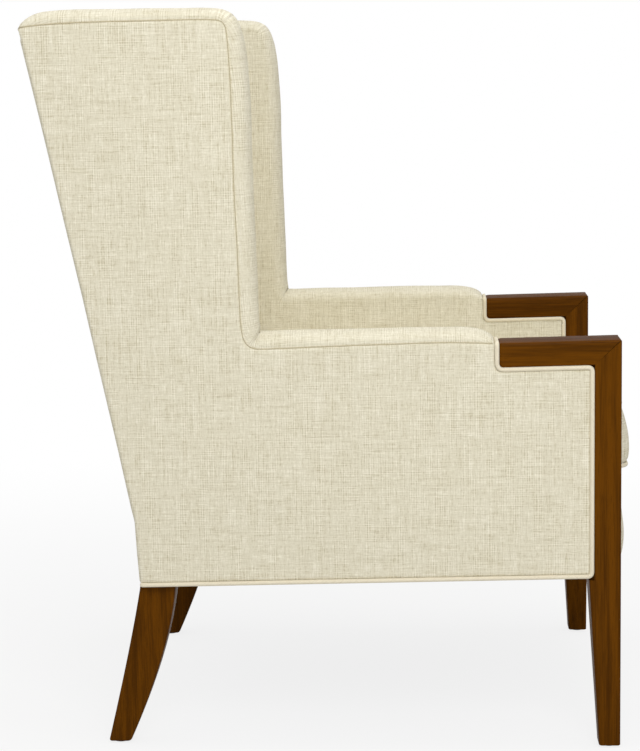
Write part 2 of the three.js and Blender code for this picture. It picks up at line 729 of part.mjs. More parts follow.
// Dust cover: the dark cloth stapled under the rails, notched around posts and legs.
function dustCover() {
  const reach = frameOuterX - dustCoverInset;
  const front = frontRailSetback + fit;
  const back = backRailBack - dustCoverInset / 2;
  const postX = innerX - 2 * fit;
  const postY = postDepth + 2 * fit;
  const legX = outerX - rearLegTopInset - rearLegTopThickness - 4 * fit;
  const legY = rearLegTopFront - 4 * fit;
  const half = [[postX, front], [postX, postY], [reach, postY], [reach, legY], [legX, legY], [legX, back]];
  const corners = [...half, ...half.map(([x, y]) => [-x, y]).reverse()];
  const at = (drop) => corners.map(([x, y]) => new THREE.Vector3(x, y, seatLine(y, drop)));
  const top = seatRailBottomDrop + fit;
  return loft([at(top + dustCoverThickness), at(top)], flattenPlan);
}

// Piping around one side: the bottom edge, the post, under the show arm, over its end and down inside.
function sidePiping() {
  const rise = pipingRadius + fit;
  const low = (depth) => seatLine(depth, fabricEdgeDrop) + pipingRadius;
  const postLine = postShownDepth + rise;
  const endLine = woodArmLength + rise;
  const under = (depth) => armUnder(depth) - rise;
  const top = armTop(woodArmLength) - pipingRadius / 3;
  const rearFoot = backFootDepth - coverThickness;
  const outside = pipingOuterX;
  const inside = pipingInnerX;
  const stop = seatLine(postLine, -pipingChannel);
  const corners = [
    [outside, rearFoot, low(rearFoot)], [outside, postLine, low(postLine)],
    [outside, postLine, under(postLine)], [outside, endLine, under(endLine)],
    [outside, endLine, top], [inside, endLine, top],
    [inside, endLine, under(endLine)], [inside, postLine, under(postLine)], [inside, postLine, stop]];
  const path = roundPath(corners.map((corner) => new THREE.Vector3(...corner)), pipingBend, 4);
  return cord(path, pipingRadius, pipingSides);
}
function bottomPiping(depth, reach) {
  const height = seatLine(depth, fabricEdgeDrop) + pipingRadius;
  return cord([new THREE.Vector3(-reach, depth, height), new THREE.Vector3(reach, depth, height)],
    pipingRadius, pipingSides);
}

// Plan of the loose cushion, drawn in at its sides, as a ring of [x, depth] shrunk evenly by an inset.
function cushionPlan(inset) {
  const reach = cushionHalfWidth - inset;
  const corner = Math.max(cushionCorner - inset, cushionCorner / 4);
  const front = cushionFront + inset;
  const back = cushionBack - inset;
  const quarter = (cx, cy, from) => Array.from({ length: 4 }, (unused, i) => {
    const angle = from + (Math.PI / 2) * (i / 3);
    return [cx + corner * Math.cos(angle), cy + corner * Math.sin(angle)];
  });
  const ring = [
    ...quarter(reach - corner, back - corner, 0),
    ...[1 / 2, 0, -1 / 2].map((share) => [reach * share, back]),
    ...quarter(corner - reach, back - corner, Math.PI / 2),
    ...[3 / 4, 1 / 2, 1 / 4].map((share) => [-reach, THREE.MathUtils.lerp(front, back, share)]),
    ...quarter(corner - reach, front + corner, Math.PI),
    ...[-1 / 2, 0, 1 / 2].map((share) => [reach * share, front]),
    ...quarter(reach - corner, front + corner, -Math.PI / 2),
    ...[1 / 4, 1 / 2, 3 / 4].map((share) => [reach, THREE.MathUtils.lerp(front, back, share)])];
  return ring.map(([x, y]) => {
    const along = (y - front) / (back - front);
    const pull = cushionSidePull * Math.sin(Math.PI * THREE.MathUtils.clamp(along, 0, 1));
    return [x - Math.sign(x) * Math.min(pull, Math.abs(x)), y];
  });
}

// Lifts a plan ring to a height over the deck. The front leans back as it rises.
function cushionRing(inset, lift) {
  const middle = (cushionFront + cushionBack) / 2;
  return cushionPlan(inset).map(([x, y]) => {
    const lean = y < middle ? cushionLean * Math.max(lift - cushionBoxing / 2, 0) / cushionBoxing : 0;
    const depth = y + lean;
    return new THREE.Vector3(x, depth, seatLine(depth, 0) + fit + lift);
  });
}
function cushionBody(skin) {
  const rings = [];
  rings.push(cushionRing(3 * cushionFootLift + skin, skin));
  const boxSteps = 4;
  const foot = cushionFootLift;
  const crownFoot = foot + cushionBoxing;
  for (let i = 0; i <= boxSteps; i += 1) {
    const share = i / boxSteps;
    const bulge = cushionBulge * Math.sin(Math.PI * share);
    rings.push(cushionRing(skin - bulge, THREE.MathUtils.lerp(foot + skin, crownFoot - skin, share)));
  }
  const reach = (cushionBack - cushionFront) / 2;
  crownShares.forEach((share) => {
    const rise = cushionCrown * (1 - (1 - share) ** 3);
    rings.push(cushionRing(skin + reach * share, crownFoot - skin + rise));
  });
  return loft(rings, flattenPlan);
}

// Zip in the middle of the rear boxing. Its places are counted from the boxing's outer face.
const zipFace = cushionBack + cushionBulge;
const zipMiddle = seatLine(zipFace, 0) + fit + cushionFootLift + cushionBoxing / 2;
function zipStrip(halfLength, halfHeight, from, to) {
  return block([-halfLength, zipFace + from, zipMiddle - halfHeight],
    [halfLength, zipFace + to, zipMiddle + halfHeight]);
}
function cushionCase() {
  const slot = zipStrip(zipLength / 2, zipHeight / 2, -2 * cushionCover, overrun);
  return cut(cushionBody(0), cushionBody(cushionCover), slot);
}
function cushionCore() {
  return cushionBody(cushionCover + fit);
}
function cushionZip() {
  return zipStrip(zipLength / 2 - fit, zipHeight / 2 - fit, -fit - zipThickness, -fit);
}
function zipSlider() {
  const end = zipLength / 2 - fit;
  const start = end - zipSliderLength;
  const body = block([start, zipFace, zipMiddle - zipSliderHeight / 2],
    [end, zipFace + zipSliderThickness, zipMiddle + zipSliderHeight / 2]);
  const pull = block([start - zipPullLength, zipFace + zipSliderThickness - zipPullThickness,
    zipMiddle - zipPullHeight / 2],
  [start + zipSliderLength / 2, zipFace + zipSliderThickness, zipMiddle + zipPullHeight / 2]);
  return join(body, pull);
}
function cushionPiping(lift) {
  return cord(cushionRing(-(cushionPipingRadius + fit), lift), cushionPipingRadius, pipingSides, true);
}

// Assembly. Side pieces are built for the sitter's left and mirrored for the right.
const chair = new THREE.Group();
function place(name, geometry, finish, parent = chair) {
  const mesh = new THREE.Mesh(geometry, new THREE.MeshStandardMaterial(finish));
  mesh.name = name;
  parent.add(mesh);
  return mesh;
}
function mirrored(geometry) {
  const other = geometry.index ? geometry.toNonIndexed() : geometry.clone();
  other.scale(-1, 1, 1);
  const { position } = other.attributes;
  const [second, third] = [new THREE.Vector3(), new THREE.Vector3()];
  for (let i = 0; i < position.count; i += 3) {
    second.fromBufferAttribute(position, i + 1);
    third.fromBufferAttribute(position, i + 2);
    position.setXYZ(i + 1, ...third.toArray());
    position.setXYZ(i + 2, ...second.toArray());
  }
  other.computeVertexNormals();
  return other;
}
function placePair(name, geometry, finish) {
  place(`${name}_left`, geometry, finish);
  place(`${name}_right`, mirrored(geometry), finish);
}

placePair('front_post', frontPost(), woodFinish);
placePair('show_arm', showArm(), woodFinish);
placePair('rear_leg', rearLeg(), woodFinish);
placePair('rear_leg_dowel', legDowel(legDowelRadius, legDowelLength), frameFinish);
placePair('front_glide', glide(outerX - legFootThickness / 2, legFootDepth / 2), glideFinish);
placePair('rear_glide', glide(outerX - rearLegFootInset - rearLegFootThickness / 2,
  (rearLegFootFront + rearLegFootBack) / 2), glideFinish);

placePair('side_rail', sideRail(), frameFinish);
placePair('back_post', backPost(), frameFinish);
placePair('wing_post', wingPost(), frameFinish);
placePair('wing_top_rail', wingTopRail(), frameFinish);
placePair('arm_rail', armRail(), frameFinish);
placePair('arm_tack_rail', armTackRail(), frameFinish);
placePair('front_corner_block', frontCornerBlock(), frameFinish);
placePair('back_corner_block', backCornerBlock(), frameFinish);
place('front_rail', frontRail(), frameFinish);
place('back_rail', backRail(), frameFinish);
place('back_top_rail', backCrossRail(frameTop - topRailHeight, frameTop), frameFinish);
place('back_tack_rail', backCrossRail(deckHeight + backTackRailLift,
  deckHeight + backTackRailLift + backTackRailHeight), frameFinish);

for (let i = 0; i < springCount; i += 1) {
  place(`seat_spring_${i + 1}`, seatSpring((i - (springCount - 1) / 2) * springSpacing), steelFinish);
}
for (let i = 0; i < webbingCount; i += 1) {
  const share = i / (webbingCount - 1);
  const low = THREE.MathUtils.lerp(webbingFirstHeight, webbingLastHeight, share);
  place(`back_webbing_${i + 1}`, backWebbing(low), webbingFinish);
}
place('edge_roll', edgeRoll(), foamFinish);

placePair('inside_arm_and_wing', sideCover(), fabricFinish);
placePair('outside_panel', outsidePanel(), fabricFinish);
place('outside_back', outsideBack(), fabricFinish);
place('inside_back', backPad(), fabricFinish);
place('front_border', frontBorder(), fabricFinish);
place('deck_pad', deckPad(), fabricFinish);
place('dust_cover', dustCover(), clothFinish);
placePair('side_piping', sidePiping(), fabricFinish);
place('front_piping', bottomPiping(frontRailSetback - borderThickness, innerX - 2 * fit), fabricFinish);
place('back_piping', bottomPiping(
  backFootDepth - pipingRadius + pipingProud, frameOuterX - pipingRadius), fabricFinish);

place('seat_cushion_cover', cushionCase(), fabricFinish);
place('seat_cushion_core', cushionCore(), foamFinish);
place('seat_cushion_zip', cushionZip(), clothFinish);
place('seat_cushion_zip_slider', zipSlider(), steelFinish);
place('seat_cushion_top_piping', cushionPiping(cushionFootLift + cushionBoxing), fabricFinish);
place('seat_cushion_bottom_piping', cushionPiping(cushionFootLift), fabricFinish);

// The origin is on the floor, at the middle of the chair's width and depth.
const foremost = cushionFront - fit - 2 * cushionPipingRadius;
chair.position.y = -(backTopDepth + foremost) / 2;

export default chair;
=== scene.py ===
"""Fireside chair with show-wood arms: upholstery, show wood, piping, loose cushion, studio and camera."""

import math

import bmesh
import bpy
import numpy as np
from bpy.props import FloatProperty, FloatVectorProperty, PointerProperty
from mathutils import Matrix, Vector


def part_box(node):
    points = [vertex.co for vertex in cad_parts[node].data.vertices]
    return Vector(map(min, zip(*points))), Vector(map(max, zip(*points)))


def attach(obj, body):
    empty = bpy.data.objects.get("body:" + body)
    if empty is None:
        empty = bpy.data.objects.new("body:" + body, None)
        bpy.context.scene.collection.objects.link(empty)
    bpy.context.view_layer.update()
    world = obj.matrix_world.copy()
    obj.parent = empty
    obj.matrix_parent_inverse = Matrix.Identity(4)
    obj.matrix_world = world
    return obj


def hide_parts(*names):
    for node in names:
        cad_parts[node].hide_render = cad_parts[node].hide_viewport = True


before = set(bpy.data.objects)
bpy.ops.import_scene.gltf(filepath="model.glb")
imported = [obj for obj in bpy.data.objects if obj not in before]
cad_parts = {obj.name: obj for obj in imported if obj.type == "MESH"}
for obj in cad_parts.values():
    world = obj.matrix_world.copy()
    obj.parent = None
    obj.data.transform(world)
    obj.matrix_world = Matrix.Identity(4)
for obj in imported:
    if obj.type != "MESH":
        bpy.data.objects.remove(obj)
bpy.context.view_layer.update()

bl_info = {
    "name": "Fireside Chair",
    "version": (1, 0, 0),
    "blender": (4, 5, 0),
    "location": "View3D > Sidebar > Chair",
    "description": "Builds the covers, show wood, piping and cushion of a fireside chair around its frame",
    "category": "Object",
}

# Places read from the frame. Side pieces are worked out for the sitter's left, as (x, depth, height), with
# depth measured backwards from the front face of the posts.
POST_LOW, POST_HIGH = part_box("front_post_left")
INNER_X = POST_LOW.x
OUTER_X = POST_HIGH.x
FRONT_Y = POST_LOW.y
ARM_HEIGHT = POST_HIGH.z
DECK_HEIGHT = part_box("deck_pad")[1].z
DECK_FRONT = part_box("deck_pad")[0].y - FRONT_Y
FRAME_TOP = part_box("outside_back")[1].z

# Lines that the whole chair follows: the arm falls and the seat pitches towards the back.
ARM_FALL = 0.02
SEAT_PITCH = 0.017
REAR_HEIGHTS = [0.241, 0.290, 0.338, 0.357, 0.445, 0.577, 0.664, 0.780, 0.894, 0.951, 1.013, 1.053]
REAR_DEPTHS = [0.699, 0.7025, 0.7050, 0.7095, 0.7270, 0.7545, 0.7722, 0.7972, 0.8212, 0.8335, 0.8472, 0.8560]

# The seam of the outside panel: its depth, its height, and how far the padded band rises over it.
ARM_SEAM = [
    (0.1816, 0.5962, 0.0000), (0.1835, 0.5963, 0.0062), (0.1875, 0.5965, 0.0100), (0.1945, 0.5968, 0.0137),
    (0.2050, 0.5972, 0.0163), (0.2190, 0.5977, 0.0179), (0.2590, 0.5982, 0.0185), (0.3170, 0.5968, 0.0194),
    (0.4040, 0.5945, 0.0207), (0.4870, 0.5917, 0.0222), (0.5160, 0.5908, 0.0228)]
WING_SEAM = [
    (0.5252, 0.5912, 0.0230), (0.5326, 0.5937, 0.0232), (0.5381, 0.5983, 0.0235), (0.5420, 0.6052, 0.0240),
    (0.5447, 0.6185, 0.0244), (0.5468, 0.6500, 0.0248), (0.5478, 0.6900, 0.0248), (0.5487, 0.7310, 0.0247),
    (0.5518, 0.8170, 0.0248), (0.5533, 0.9190, 0.0252), (0.5547, 0.9750, 0.0246), (0.5568, 1.0180, 0.0226),
    (0.5583, 1.0380, 0.0202), (0.5600, 1.0490, 0.0178), (0.5640, 1.0562, 0.0168)]
TOP_SEAM = [
    (0.5710, 1.0594, 0.0165), (0.5850, 1.0606, 0.0168), (0.6200, 1.0608, 0.0175), (0.6660, 1.0602, 0.0182),
    (0.7500, 1.0594, 0.0190), (0.8100, 1.0574, 0.0196), (0.8280, 1.0561, 0.0184), (0.8400, 1.0550, 0.0148),
    (0.8480, 1.0540, 0.0104), (0.8535, 1.0528, 0.0052), (0.8558, 1.0505, 0.0010)]

# Covers: how far under the deck line the panels, the piping and the padded sides end, the piping's room under
# the wood, the depth of the rear edge at the bottom, and how far the back frame lies inside it.
PANEL_DROP = 0.1370
PIPING_DROP = 0.1429
PAD_DROP = 0.040
PIPING_ROOM = 0.0056
REAR_FOOT = 0.699
PAD_PLANE = 0.054

# Where the outside panels and the padded sides start, and the radius with which their seam turns up.
PANEL_FRONT, PANEL_CORNER = 0.0442, 0.0105
PAD_FRONT, PAD_CORNER = 0.0452, 0.0115

# The band over a side: its inset from the posts' outer face, the ridge and the tuck beside its seam, the
# folds and the dip at the inside corner, and its slow waves.
BAND_INSET = 0.0022
RIDGE_HEIGHT, RIDGE_PLACE, RIDGE_WIDTH = 0.0007, 0.0042, 0.0016
TUCK_DEPTH, TUCK_WIDTH = 0.0012, 0.0016
FOLD_LENGTH, FOLD_ZONE, FOLD_PLACE, FOLD_WIDTH = 0.0085, 0.022, 0.017, 0.013
DIP_DEPTH, DIP_LENGTH = 0.0026, 0.008
WAVE_HEIGHT, WAVE_SIZE = 0.0006, 0.11

# Show wood: the depth of the post and the height of its shoulder, the arm's thickness, where its even part
# starts and where it ends, the radius of the front corner, and the small radius on the sides towards cloth.
POST_DEPTH = 0.0385
SHOULDER = 0.250
ARM_THICK = 0.035
ARM_START, ARM_END = 0.048, 0.1746
WOOD_CORNER = 0.0022
SMALL_EASE = 0.0014

# Top of the rear legs: how far inside the posts' outer face, how wide, and the depth of its front.
LEG_INSET, LEG_WIDTH, LEG_FRONT = 0.012, 0.046, 0.649

# Each side's factor for x, and its name in the nodes.
SIDES = ((1, "left"), (-1, "right"))

# Plain stuffs: two colours as screen levels, the noise's scale, roughness, relief and metal.
STUFFS = {
    "foam": ((240, 230, 200), (226, 212, 176), (420.0, 420.0, 420.0), 0.9, 0.6, 0.0),
    "nylon": ((48, 46, 43), (34, 32, 30), (700.0, 700.0, 200.0), 0.45, 0.1, 0.0),
    "zip tape": ((206, 198, 172), (188, 178, 150), (500.0, 60.0, 900.0), 0.85, 0.2, 0.0),
    "nickel": ((196, 194, 188), (150, 148, 142), (300.0, 300.0, 300.0), 0.28, 0.08, 1.0),
    "spring steel": ((150, 152, 154), (92, 92, 94), (240.0, 240.0, 240.0), 0.32, 0.1, 1.0),
    "webbing": ((70, 68, 66), (40, 39, 38), (60.0, 900.0, 900.0), 0.85, 0.8, 0.0),
}


def linear(red, green, blue):
    """Screen levels from 0 to 255 as the linear colour that shows as them."""
    levels = np.array([red, green, blue]) / 255
    curved = ((levels + 0.055) / 1.055) ** 2.4
    return tuple(float(v) for v in np.where(levels <= 0.04045, levels / 12.92, curved))


def size_setting(name, default, description):
    """Property for a length in metres."""
    return FloatProperty(name=name, description=description, default=default, unit="LENGTH")


def colour_setting(name, levels, description):
    """Property for a colour, given by its screen levels."""
    return FloatVectorProperty(
        name=name, description=description, subtype="COLOR", size=3, default=linear(*levels))


class ChairSizes(bpy.types.PropertyGroup):
    """Sizes of the soft and finished surfaces."""

    seam_tuck: size_setting("Seam tuck", 0.0032, "How far a cover is drawn in at its seam")
    seam_reach: size_setting("Seam reach", 0.0046, "How wide the drawn-in strip beside a seam is")
    panel_swell: size_setting("Panel swell", 0.0016, "How far a flat cover swells between its seams")
    cover_thickness: size_setting("Cover thickness", 0.002, "Thickness of the cloth with its thin wadding")
    piping_radius: size_setting("Piping radius", 0.0033, "Radius of the covered cord")
    piping_bend: size_setting("Piping bend", 0.010, "How far from a corner the cord starts to bend")
    cushion_piping_radius: size_setting("Cushion piping radius", 0.0031, "Radius of the cord on the cushion")
    wood_ease: size_setting("Wood easing", 0.0034, "Radius on the long edges of the show wood")
    pucker: size_setting("Pucker depth", 0.0011, "Depth of the folds where the arm meets the wing")
    cushion_travel: size_setting("Cushion swell limit", 0.014, "The most that the cushion's cloth may move")


class ChairColours(bpy.types.PropertyGroup):
    """Colours of the finishes."""

    cloth_light: colour_setting("Cloth light threads", (246, 240, 220), "Palest threads of the cover")
    cloth_ground: colour_setting("Cloth ground", (229, 222, 198), "Middle colour of the cover")
    cloth_slub: colour_setting("Cloth slubs", (200, 189, 156), "Darkest threads of the cover")
    piping_light: colour_setting("Piping light threads", (238, 230, 207), "Palest threads of the piping")
    piping: colour_setting("Piping", (230, 220, 195), "Middle colour of the piping's cloth")
    piping_slub: colour_setting("Piping slubs", (208, 193, 162), "Darkest threads of the piping")
    # The seam thread colour is partly painted shade: it is darkened to stand for the shadow in the seam's
    # crease as well as the thread.
    thread: colour_setting("Seam thread", (196, 184, 153), "Thread and shadow in the seams")
    walnut_light: colour_setting("Walnut light", (104, 60, 4), "Lighter figure of the show wood")
    walnut_dark: colour_setting("Walnut dark", (62, 33, 2), "Darker figure of the show wood")
    lumber_light: colour_setting("Lumber light", (214, 184, 138), "Lighter figure of the hidden frame")
    lumber_dark: colour_setting("Lumber dark", (168, 130, 84), "Darker figure of the hidden frame")
    dust_cloth: colour_setting("Dust cloth", (46, 46, 50), "Cloth under the seat")
    dust_shade: colour_setting("Dust cloth shade", (32, 32, 35), "Darker threads of the cloth under the seat")


class StudioSettings(bpy.types.PropertyGroup):
    """Camera and light of the studio."""

    camera_place: FloatVectorProperty(
        name="Camera place", description="Where the camera stands", subtype="TRANSLATION", size=3,
        default=(-3.5389, -0.1405, 0.9693), unit="LENGTH")
    camera_turn: FloatVectorProperty(
        name="Camera turn", description="Yaw, pitch and roll of the camera", subtype="EULER", size=3,
        default=(-0.0485, -0.1306, -0.0133))
    camera_lens: FloatProperty(
        name="Camera lens", description="Focal length in millimetres on a 36 mm sensor", default=106.69)
    sky: FloatProperty(name="Sky strength", description="Even light from all round", default=0.60)
    key: FloatProperty(name="Key power", description="Power of the large lamp over the camera", default=43.0)
    top: FloatProperty(name="Top power", description="Power of the lamp over the chair", default=32.0)
    floor_share: FloatProperty(
        name="Floor shadow", description="How strongly the pale floor shows the shadow", default=0.17)


# Lines of the chair, for single depths and for arrays.
def seat_line(depth, drop):
    """Height of the deck at a depth, less a drop."""
    return DECK_HEIGHT - SEAT_PITCH * (depth - DECK_FRONT) - drop


def arm_under(depth):
    """Height of the underside of the show arm at a depth."""
    return ARM_HEIGHT - ARM_FALL * depth - ARM_THICK


def rear_edge(height):
    """Depth of the chair's rear at a height."""
    return np.interp(height, REAR_HEIGHTS, REAR_DEPTHS)


# Spacings and falloffs.
def spread(count):
    """Numbers from 0 to 1 that lie closer together at both ends."""
    return (1 - np.cos(np.pi * np.linspace(0, 1, count))) / 2


def spread_across(count):
    """Numbers from -1 to 1 that lie closer together at both ends."""
    return np.sin(np.pi * np.linspace(-0.5, 0.5, count))


def ramp(distance, length):
    """Share of a length that a distance makes up, from 0 to 1."""
    return np.clip(distance / length, 0, 1)


def bell(distance, reach):
    """Bell curve: e to the power of minus the square of distance over reach."""
    return np.exp(-((distance / reach) ** 2))


def quarter(share):
    """Quarter circle's fall from 1 to 0, as the share goes from 0 to 1."""
    return 1 - np.sqrt(np.clip(1 - (1 - share) ** 2, 0, 1))


# Curves, as arrays of points.
def lengths_along(points):
    """Distance walked to each point of a path, from its first point."""
    steps = np.linalg.norm(np.diff(points, axis=0), axis=-1)
    return np.concatenate([[0.0], np.cumsum(steps)])


def smooth_through(points, count):
    """Cubic Hermite curve through the points of axis 0. Each slope is the weighted mean of the two beside it.

    The knots are spaced as the points are, on average over the other axes, and the samples are even in them.
    """
    points = np.asarray(points, float)
    gaps = np.linalg.norm(np.diff(points, axis=0), axis=-1)
    gaps = gaps.reshape(len(gaps), -1).mean(axis=1)
    knots = np.concatenate([[0.0], np.cumsum(gaps)])
    shape = (-1,) + (1,) * (points.ndim - 1)
    slopes = np.diff(points, axis=0) / gaps.reshape(shape)
    before, after = gaps[:-1].reshape(shape), gaps[1:].reshape(shape)
    middle = (slopes[:-1] * after + slopes[1:] * before) / (before + after)
    tangents = np.concatenate([slopes[:1], middle, slopes[-1:]])
    at = np.linspace(0, knots[-1], count)
    k = np.clip(np.searchsorted(knots, at, side="right") - 1, 0, len(gaps) - 1)
    span = gaps[k].reshape(shape)
    t = ((at - knots[k]) / gaps[k]).reshape(shape)
    return ((2 * t**3 - 3 * t**2 + 1) * points[k] + (t**3 - 2 * t**2 + t) * span * tangents[k]
            + (3 * t**2 - 2 * t**3) * points[k + 1] + (t**3 - t**2) * span * tangents[k + 1])


def rounded(points, radii, steps=8):
    """Polyline whose corners are replaced by parabolas that start and end a radius away from each corner."""
    points = [np.array(p, float) for p in points]
    path = [points[0]]
    t = np.linspace(0, 1, steps + 1)[:, None]
    for before, corner, after, radius in zip(points, points[1:], points[2:], radii):
        if radius == 0:
            path.append(corner)
            continue
        inward, onward = before - corner, after - corner
        run = min(radius, 0.48 * np.linalg.norm(inward), 0.48 * np.linalg.norm(onward))
        start = corner + inward / np.linalg.norm(inward) * run
        end = corner + onward / np.linalg.norm(onward) * run
        path.extend((1 - t) ** 2 * start + 2 * t * (1 - t) * corner + t**2 * end)
    path.append(points[-1])
    return np.array(path)


def sampled(path, at, walked=None):
    """Points of a polyline at given distances along it. Walked can hold its own points' distances."""
    if walked is None:
        walked = lengths_along(path)
    return np.stack([np.interp(at, walked, column) for column in path.T], axis=-1)


def clustered(length, spots, coarse, fine, reach):
    """Distances from 0 to length, spaced about coarse apart, and fine within reach of each spot."""
    s = np.linspace(0, length, max(400, int(length / 0.0005)))
    near = bell(s[:, None] - np.asarray(spots, float)[None, :], reach).max(axis=1)
    density = 1 / coarse + (1 / fine - 1 / coarse) * near
    walked = np.concatenate([[0.0], np.cumsum((density[1:] + density[:-1]) / 2 * np.diff(s))])
    count = int(math.ceil(walked[-1])) + 1
    return np.interp(np.linspace(0, walked[-1], count), walked, s)


def distance_to(points, path):
    """Least distance from each 2-D point to a polyline."""
    flat = points.reshape(-1, 2)
    best = np.full(len(flat), np.inf)
    for start, end in zip(path[:-1], path[1:]):
        span = end - start
        length = float(span @ span)
        if length < 1e-14:
            continue
        t = np.clip((flat - start) @ span / length, 0, 1)
        best = np.minimum(best, np.linalg.norm(flat - start - t[:, None] * span, axis=1))
    return best.reshape(points.shape[:-1])


def unevenness(a, b, size):
    """Slow waves of about the given size over a surface, between -1 and 1: a sum of four plane sine waves."""
    u, v = 2 * math.pi * a / size, 2 * math.pi * b / size
    return (np.sin(u + 0.7 * v + 0.4) + np.sin(0.8 * u - 1.1 * v + 2.1)
            + np.sin(0.45 * u + 1.3 * v + 4.0) + np.sin(1.35 * u - 0.3 * v + 5.2)) / 4


def tucked(distance, sizes):
    """Depth of a cover below its plane near a seam: the full tuck at the seam, fading out over the reach."""
    return sizes.seam_tuck * quarter(ramp(distance, sizes.seam_reach))


# Meshes, from grids of points.
def grid_quads(rows, columns, first=0, close_rows=False, close_columns=False):
    """Corner numbers of the quads of a grid whose points are kept row by row from number first."""
    i = np.arange(rows if close_rows else rows - 1)[:, None]
    j = np.arange(columns if close_columns else columns - 1)[None, :]
    below, beside = (i + 1) % rows, (j + 1) % columns
    row, next_row = i * columns, below * columns
    quads = np.stack([row + j, row + beside, next_row + beside, next_row + j], -1)
    return quads.reshape(-1, 4) + first


class Surface:
    """Grids of points (x, depth, height) that make one piece, with their cloth coordinates in metres."""

    def __init__(self):
        self.points, self.cloth, self.faces, self.count = [], [], [], 0

    def add(self, points, cloth=None, close_rows=False, close_columns=False, capped=False):
        """Adds a grid. Caps close its first and its last row with one flat face each."""
        rows, columns = points.shape[:2]
        if cloth is None:
            cloth = points[..., [1, 2]]
        quads = grid_quads(rows, columns, self.count, close_rows, close_columns)
        self.faces.extend(quads.tolist())
        if capped:
            ring = np.arange(columns) + self.count
            self.faces.append(ring[::-1].tolist())
            self.faces.append((ring + (rows - 1) * columns).tolist())
        self.points.append(points.reshape(-1, 3))
        self.cloth.append(np.broadcast_to(cloth, points.shape[:2] + (2,)).reshape(-1, 2))
        self.count += rows * columns
        return self

    def solid(self, rings, cloth=None):
        """Adds rings as a closed solid with flat ends."""
        return self.add(rings, cloth, close_columns=True, capped=True)

    def build(self, name, material, side=1, outward_from=None, merge=1e-5):
        """The piece's object. Side -1 mirrors it. Faces are turned away from the point outward_from."""
        points = np.concatenate(self.points)
        points[:, 0] *= side
        points[:, 1] += FRONT_Y
        cloth = np.concatenate(self.cloth)
        mesh = bpy.data.meshes.new(name)
        mesh.from_pydata(points.tolist(), [], self.faces)
        layer = mesh.uv_layers.new(name="cloth")
        corner = np.zeros(len(mesh.loops), np.int32)
        mesh.loops.foreach_get("vertex_index", corner)
        layer.uv.foreach_set("vector", cloth[corner].astype(np.float32).ravel())
        tidy_mesh(mesh, merge)
        if outward_from is not None:
            turn_out(mesh, outward_from[0] * side, outward_from[1] + FRONT_Y, outward_from[2])
        return link_piece(name, mesh, material)


def tidy_mesh(mesh, merge):
    """Merges doubles, drops faces without area, and makes the normals of each shell agree."""
    work = bmesh.new()
    work.from_mesh(mesh)
    bmesh.ops.remove_doubles(work, verts=work.verts, dist=merge)
    bmesh.ops.dissolve_degenerate(work, edges=work.edges, dist=1e-7)
    bmesh.ops.recalc_face_normals(work, faces=work.faces)
    work.to_mesh(mesh)
    work.free()


def turn_out(mesh, x, y, z):
    """Flips all faces if, weighed by area, they look towards a point."""
    count = len(mesh.polygons)
    normals, centres, areas = np.zeros(count * 3), np.zeros(count * 3), np.zeros(count)
    mesh.polygons.foreach_get("normal", normals)
    mesh.polygons.foreach_get("center", centres)
    mesh.polygons.foreach_get("area", areas)
    away = centres.reshape(-1, 3) - np.array([x, y, z])
    away /= np.maximum(np.linalg.norm(away, axis=1, keepdims=True), 1e-9)
    if float(((normals.reshape(-1, 3) * away).sum(axis=1) * areas).sum()) < 0:
        mesh.flip_normals()


def link_piece(name, mesh, material):
    """A new object for a mesh, shaded smooth, with its material."""
    mesh.materials.append(material)
    mesh.polygons.foreach_set("use_smooth", [True] * len(mesh.polygons))
    mesh.update()
    piece = bpy.data.objects.new(name, mesh)
    bpy.context.scene.collection.objects.link(piece)
    return piece


def dress(piece, body, slot, *nodes):
    """Lets a piece ride on its body, in place of its nodes. The slot argument is not used."""
    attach(piece, body)
    if nodes:
        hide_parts(*nodes)


def thicken(piece, thickness):
    """Gives an open cover its thickness, inwards."""
    wall = piece.modifiers.new("thickness", "SOLIDIFY")
    wall.thickness = thickness
    wall.offset = -1


def tube(path, radius, sides, closed=False):
    """Rings of a round cord along a 3-D path, and their cloth coordinates.

    Each ring is the point plus radius times (cos a times normal plus sin a times across), where the normal
    starts as up, or as x where the path starts upright, and is kept square to the path.
    """
    if closed:
        ahead, behind = np.roll(path, -1, axis=0), np.roll(path, 1, axis=0)
    else:
        ahead, behind = np.concatenate([path[1:], path[-1:]]), np.concatenate([path[:1], path[:-1]])
    tangents = ahead - behind
    tangents /= np.linalg.norm(tangents, axis=1, keepdims=True)
    normals = np.zeros_like(path)
    normal = np.array([0.0, 0.0, 1.0])
    if abs(normal @ tangents[0]) > 0.9:
        normal = np.array([1.0, 0.0, 0.0])
    for i, tangent in enumerate(tangents):
        normal = normal - tangent * (normal @ tangent)
        normal /= np.linalg.norm(normal)
        normals[i] = normal
    across = np.cross(tangents, normals)
    angle = 2 * math.pi * np.arange(sides) / sides
    rings = (path[:, None, :] + radius * (np.cos(angle)[None, :, None] * normals[:, None, :]
                                          + np.sin(angle)[None, :, None] * across[:, None, :]))
    walked = lengths_along(path)
    cloth = np.stack(np.broadcast_arrays(walked[:, None], (radius * angle)[None, :]), axis=-1)
    return rings, cloth


# Node trees.
def add_node(tree, kind, inputs=None, **settings):
    """A node with its settings, and its inputs given as values or as sockets to link."""
    made = tree.nodes.new(kind)
    for name, value in settings.items():
        setattr(made, name, value)
    for name, value in (inputs or {}).items():
        if isinstance(value, bpy.types.NodeSocket):
            tree.links.new(value, made.inputs[name])
        else:
            made.inputs[name].default_value = value
    return made


def math_of(tree, operation, a, b=0.0, clamp=False):
    """Output of a Math node."""
    return add_node(tree, "ShaderNodeMath", {0: a, 1: b}, operation=operation, use_clamp=clamp).outputs[0]


def plus(tree, *values, clamp=False):
    """Sum of values, each added to the sum before it."""
    total = values[0]
    for value in values[1:]:
        total = math_of(tree, "ADD", total, value, clamp)
    return total


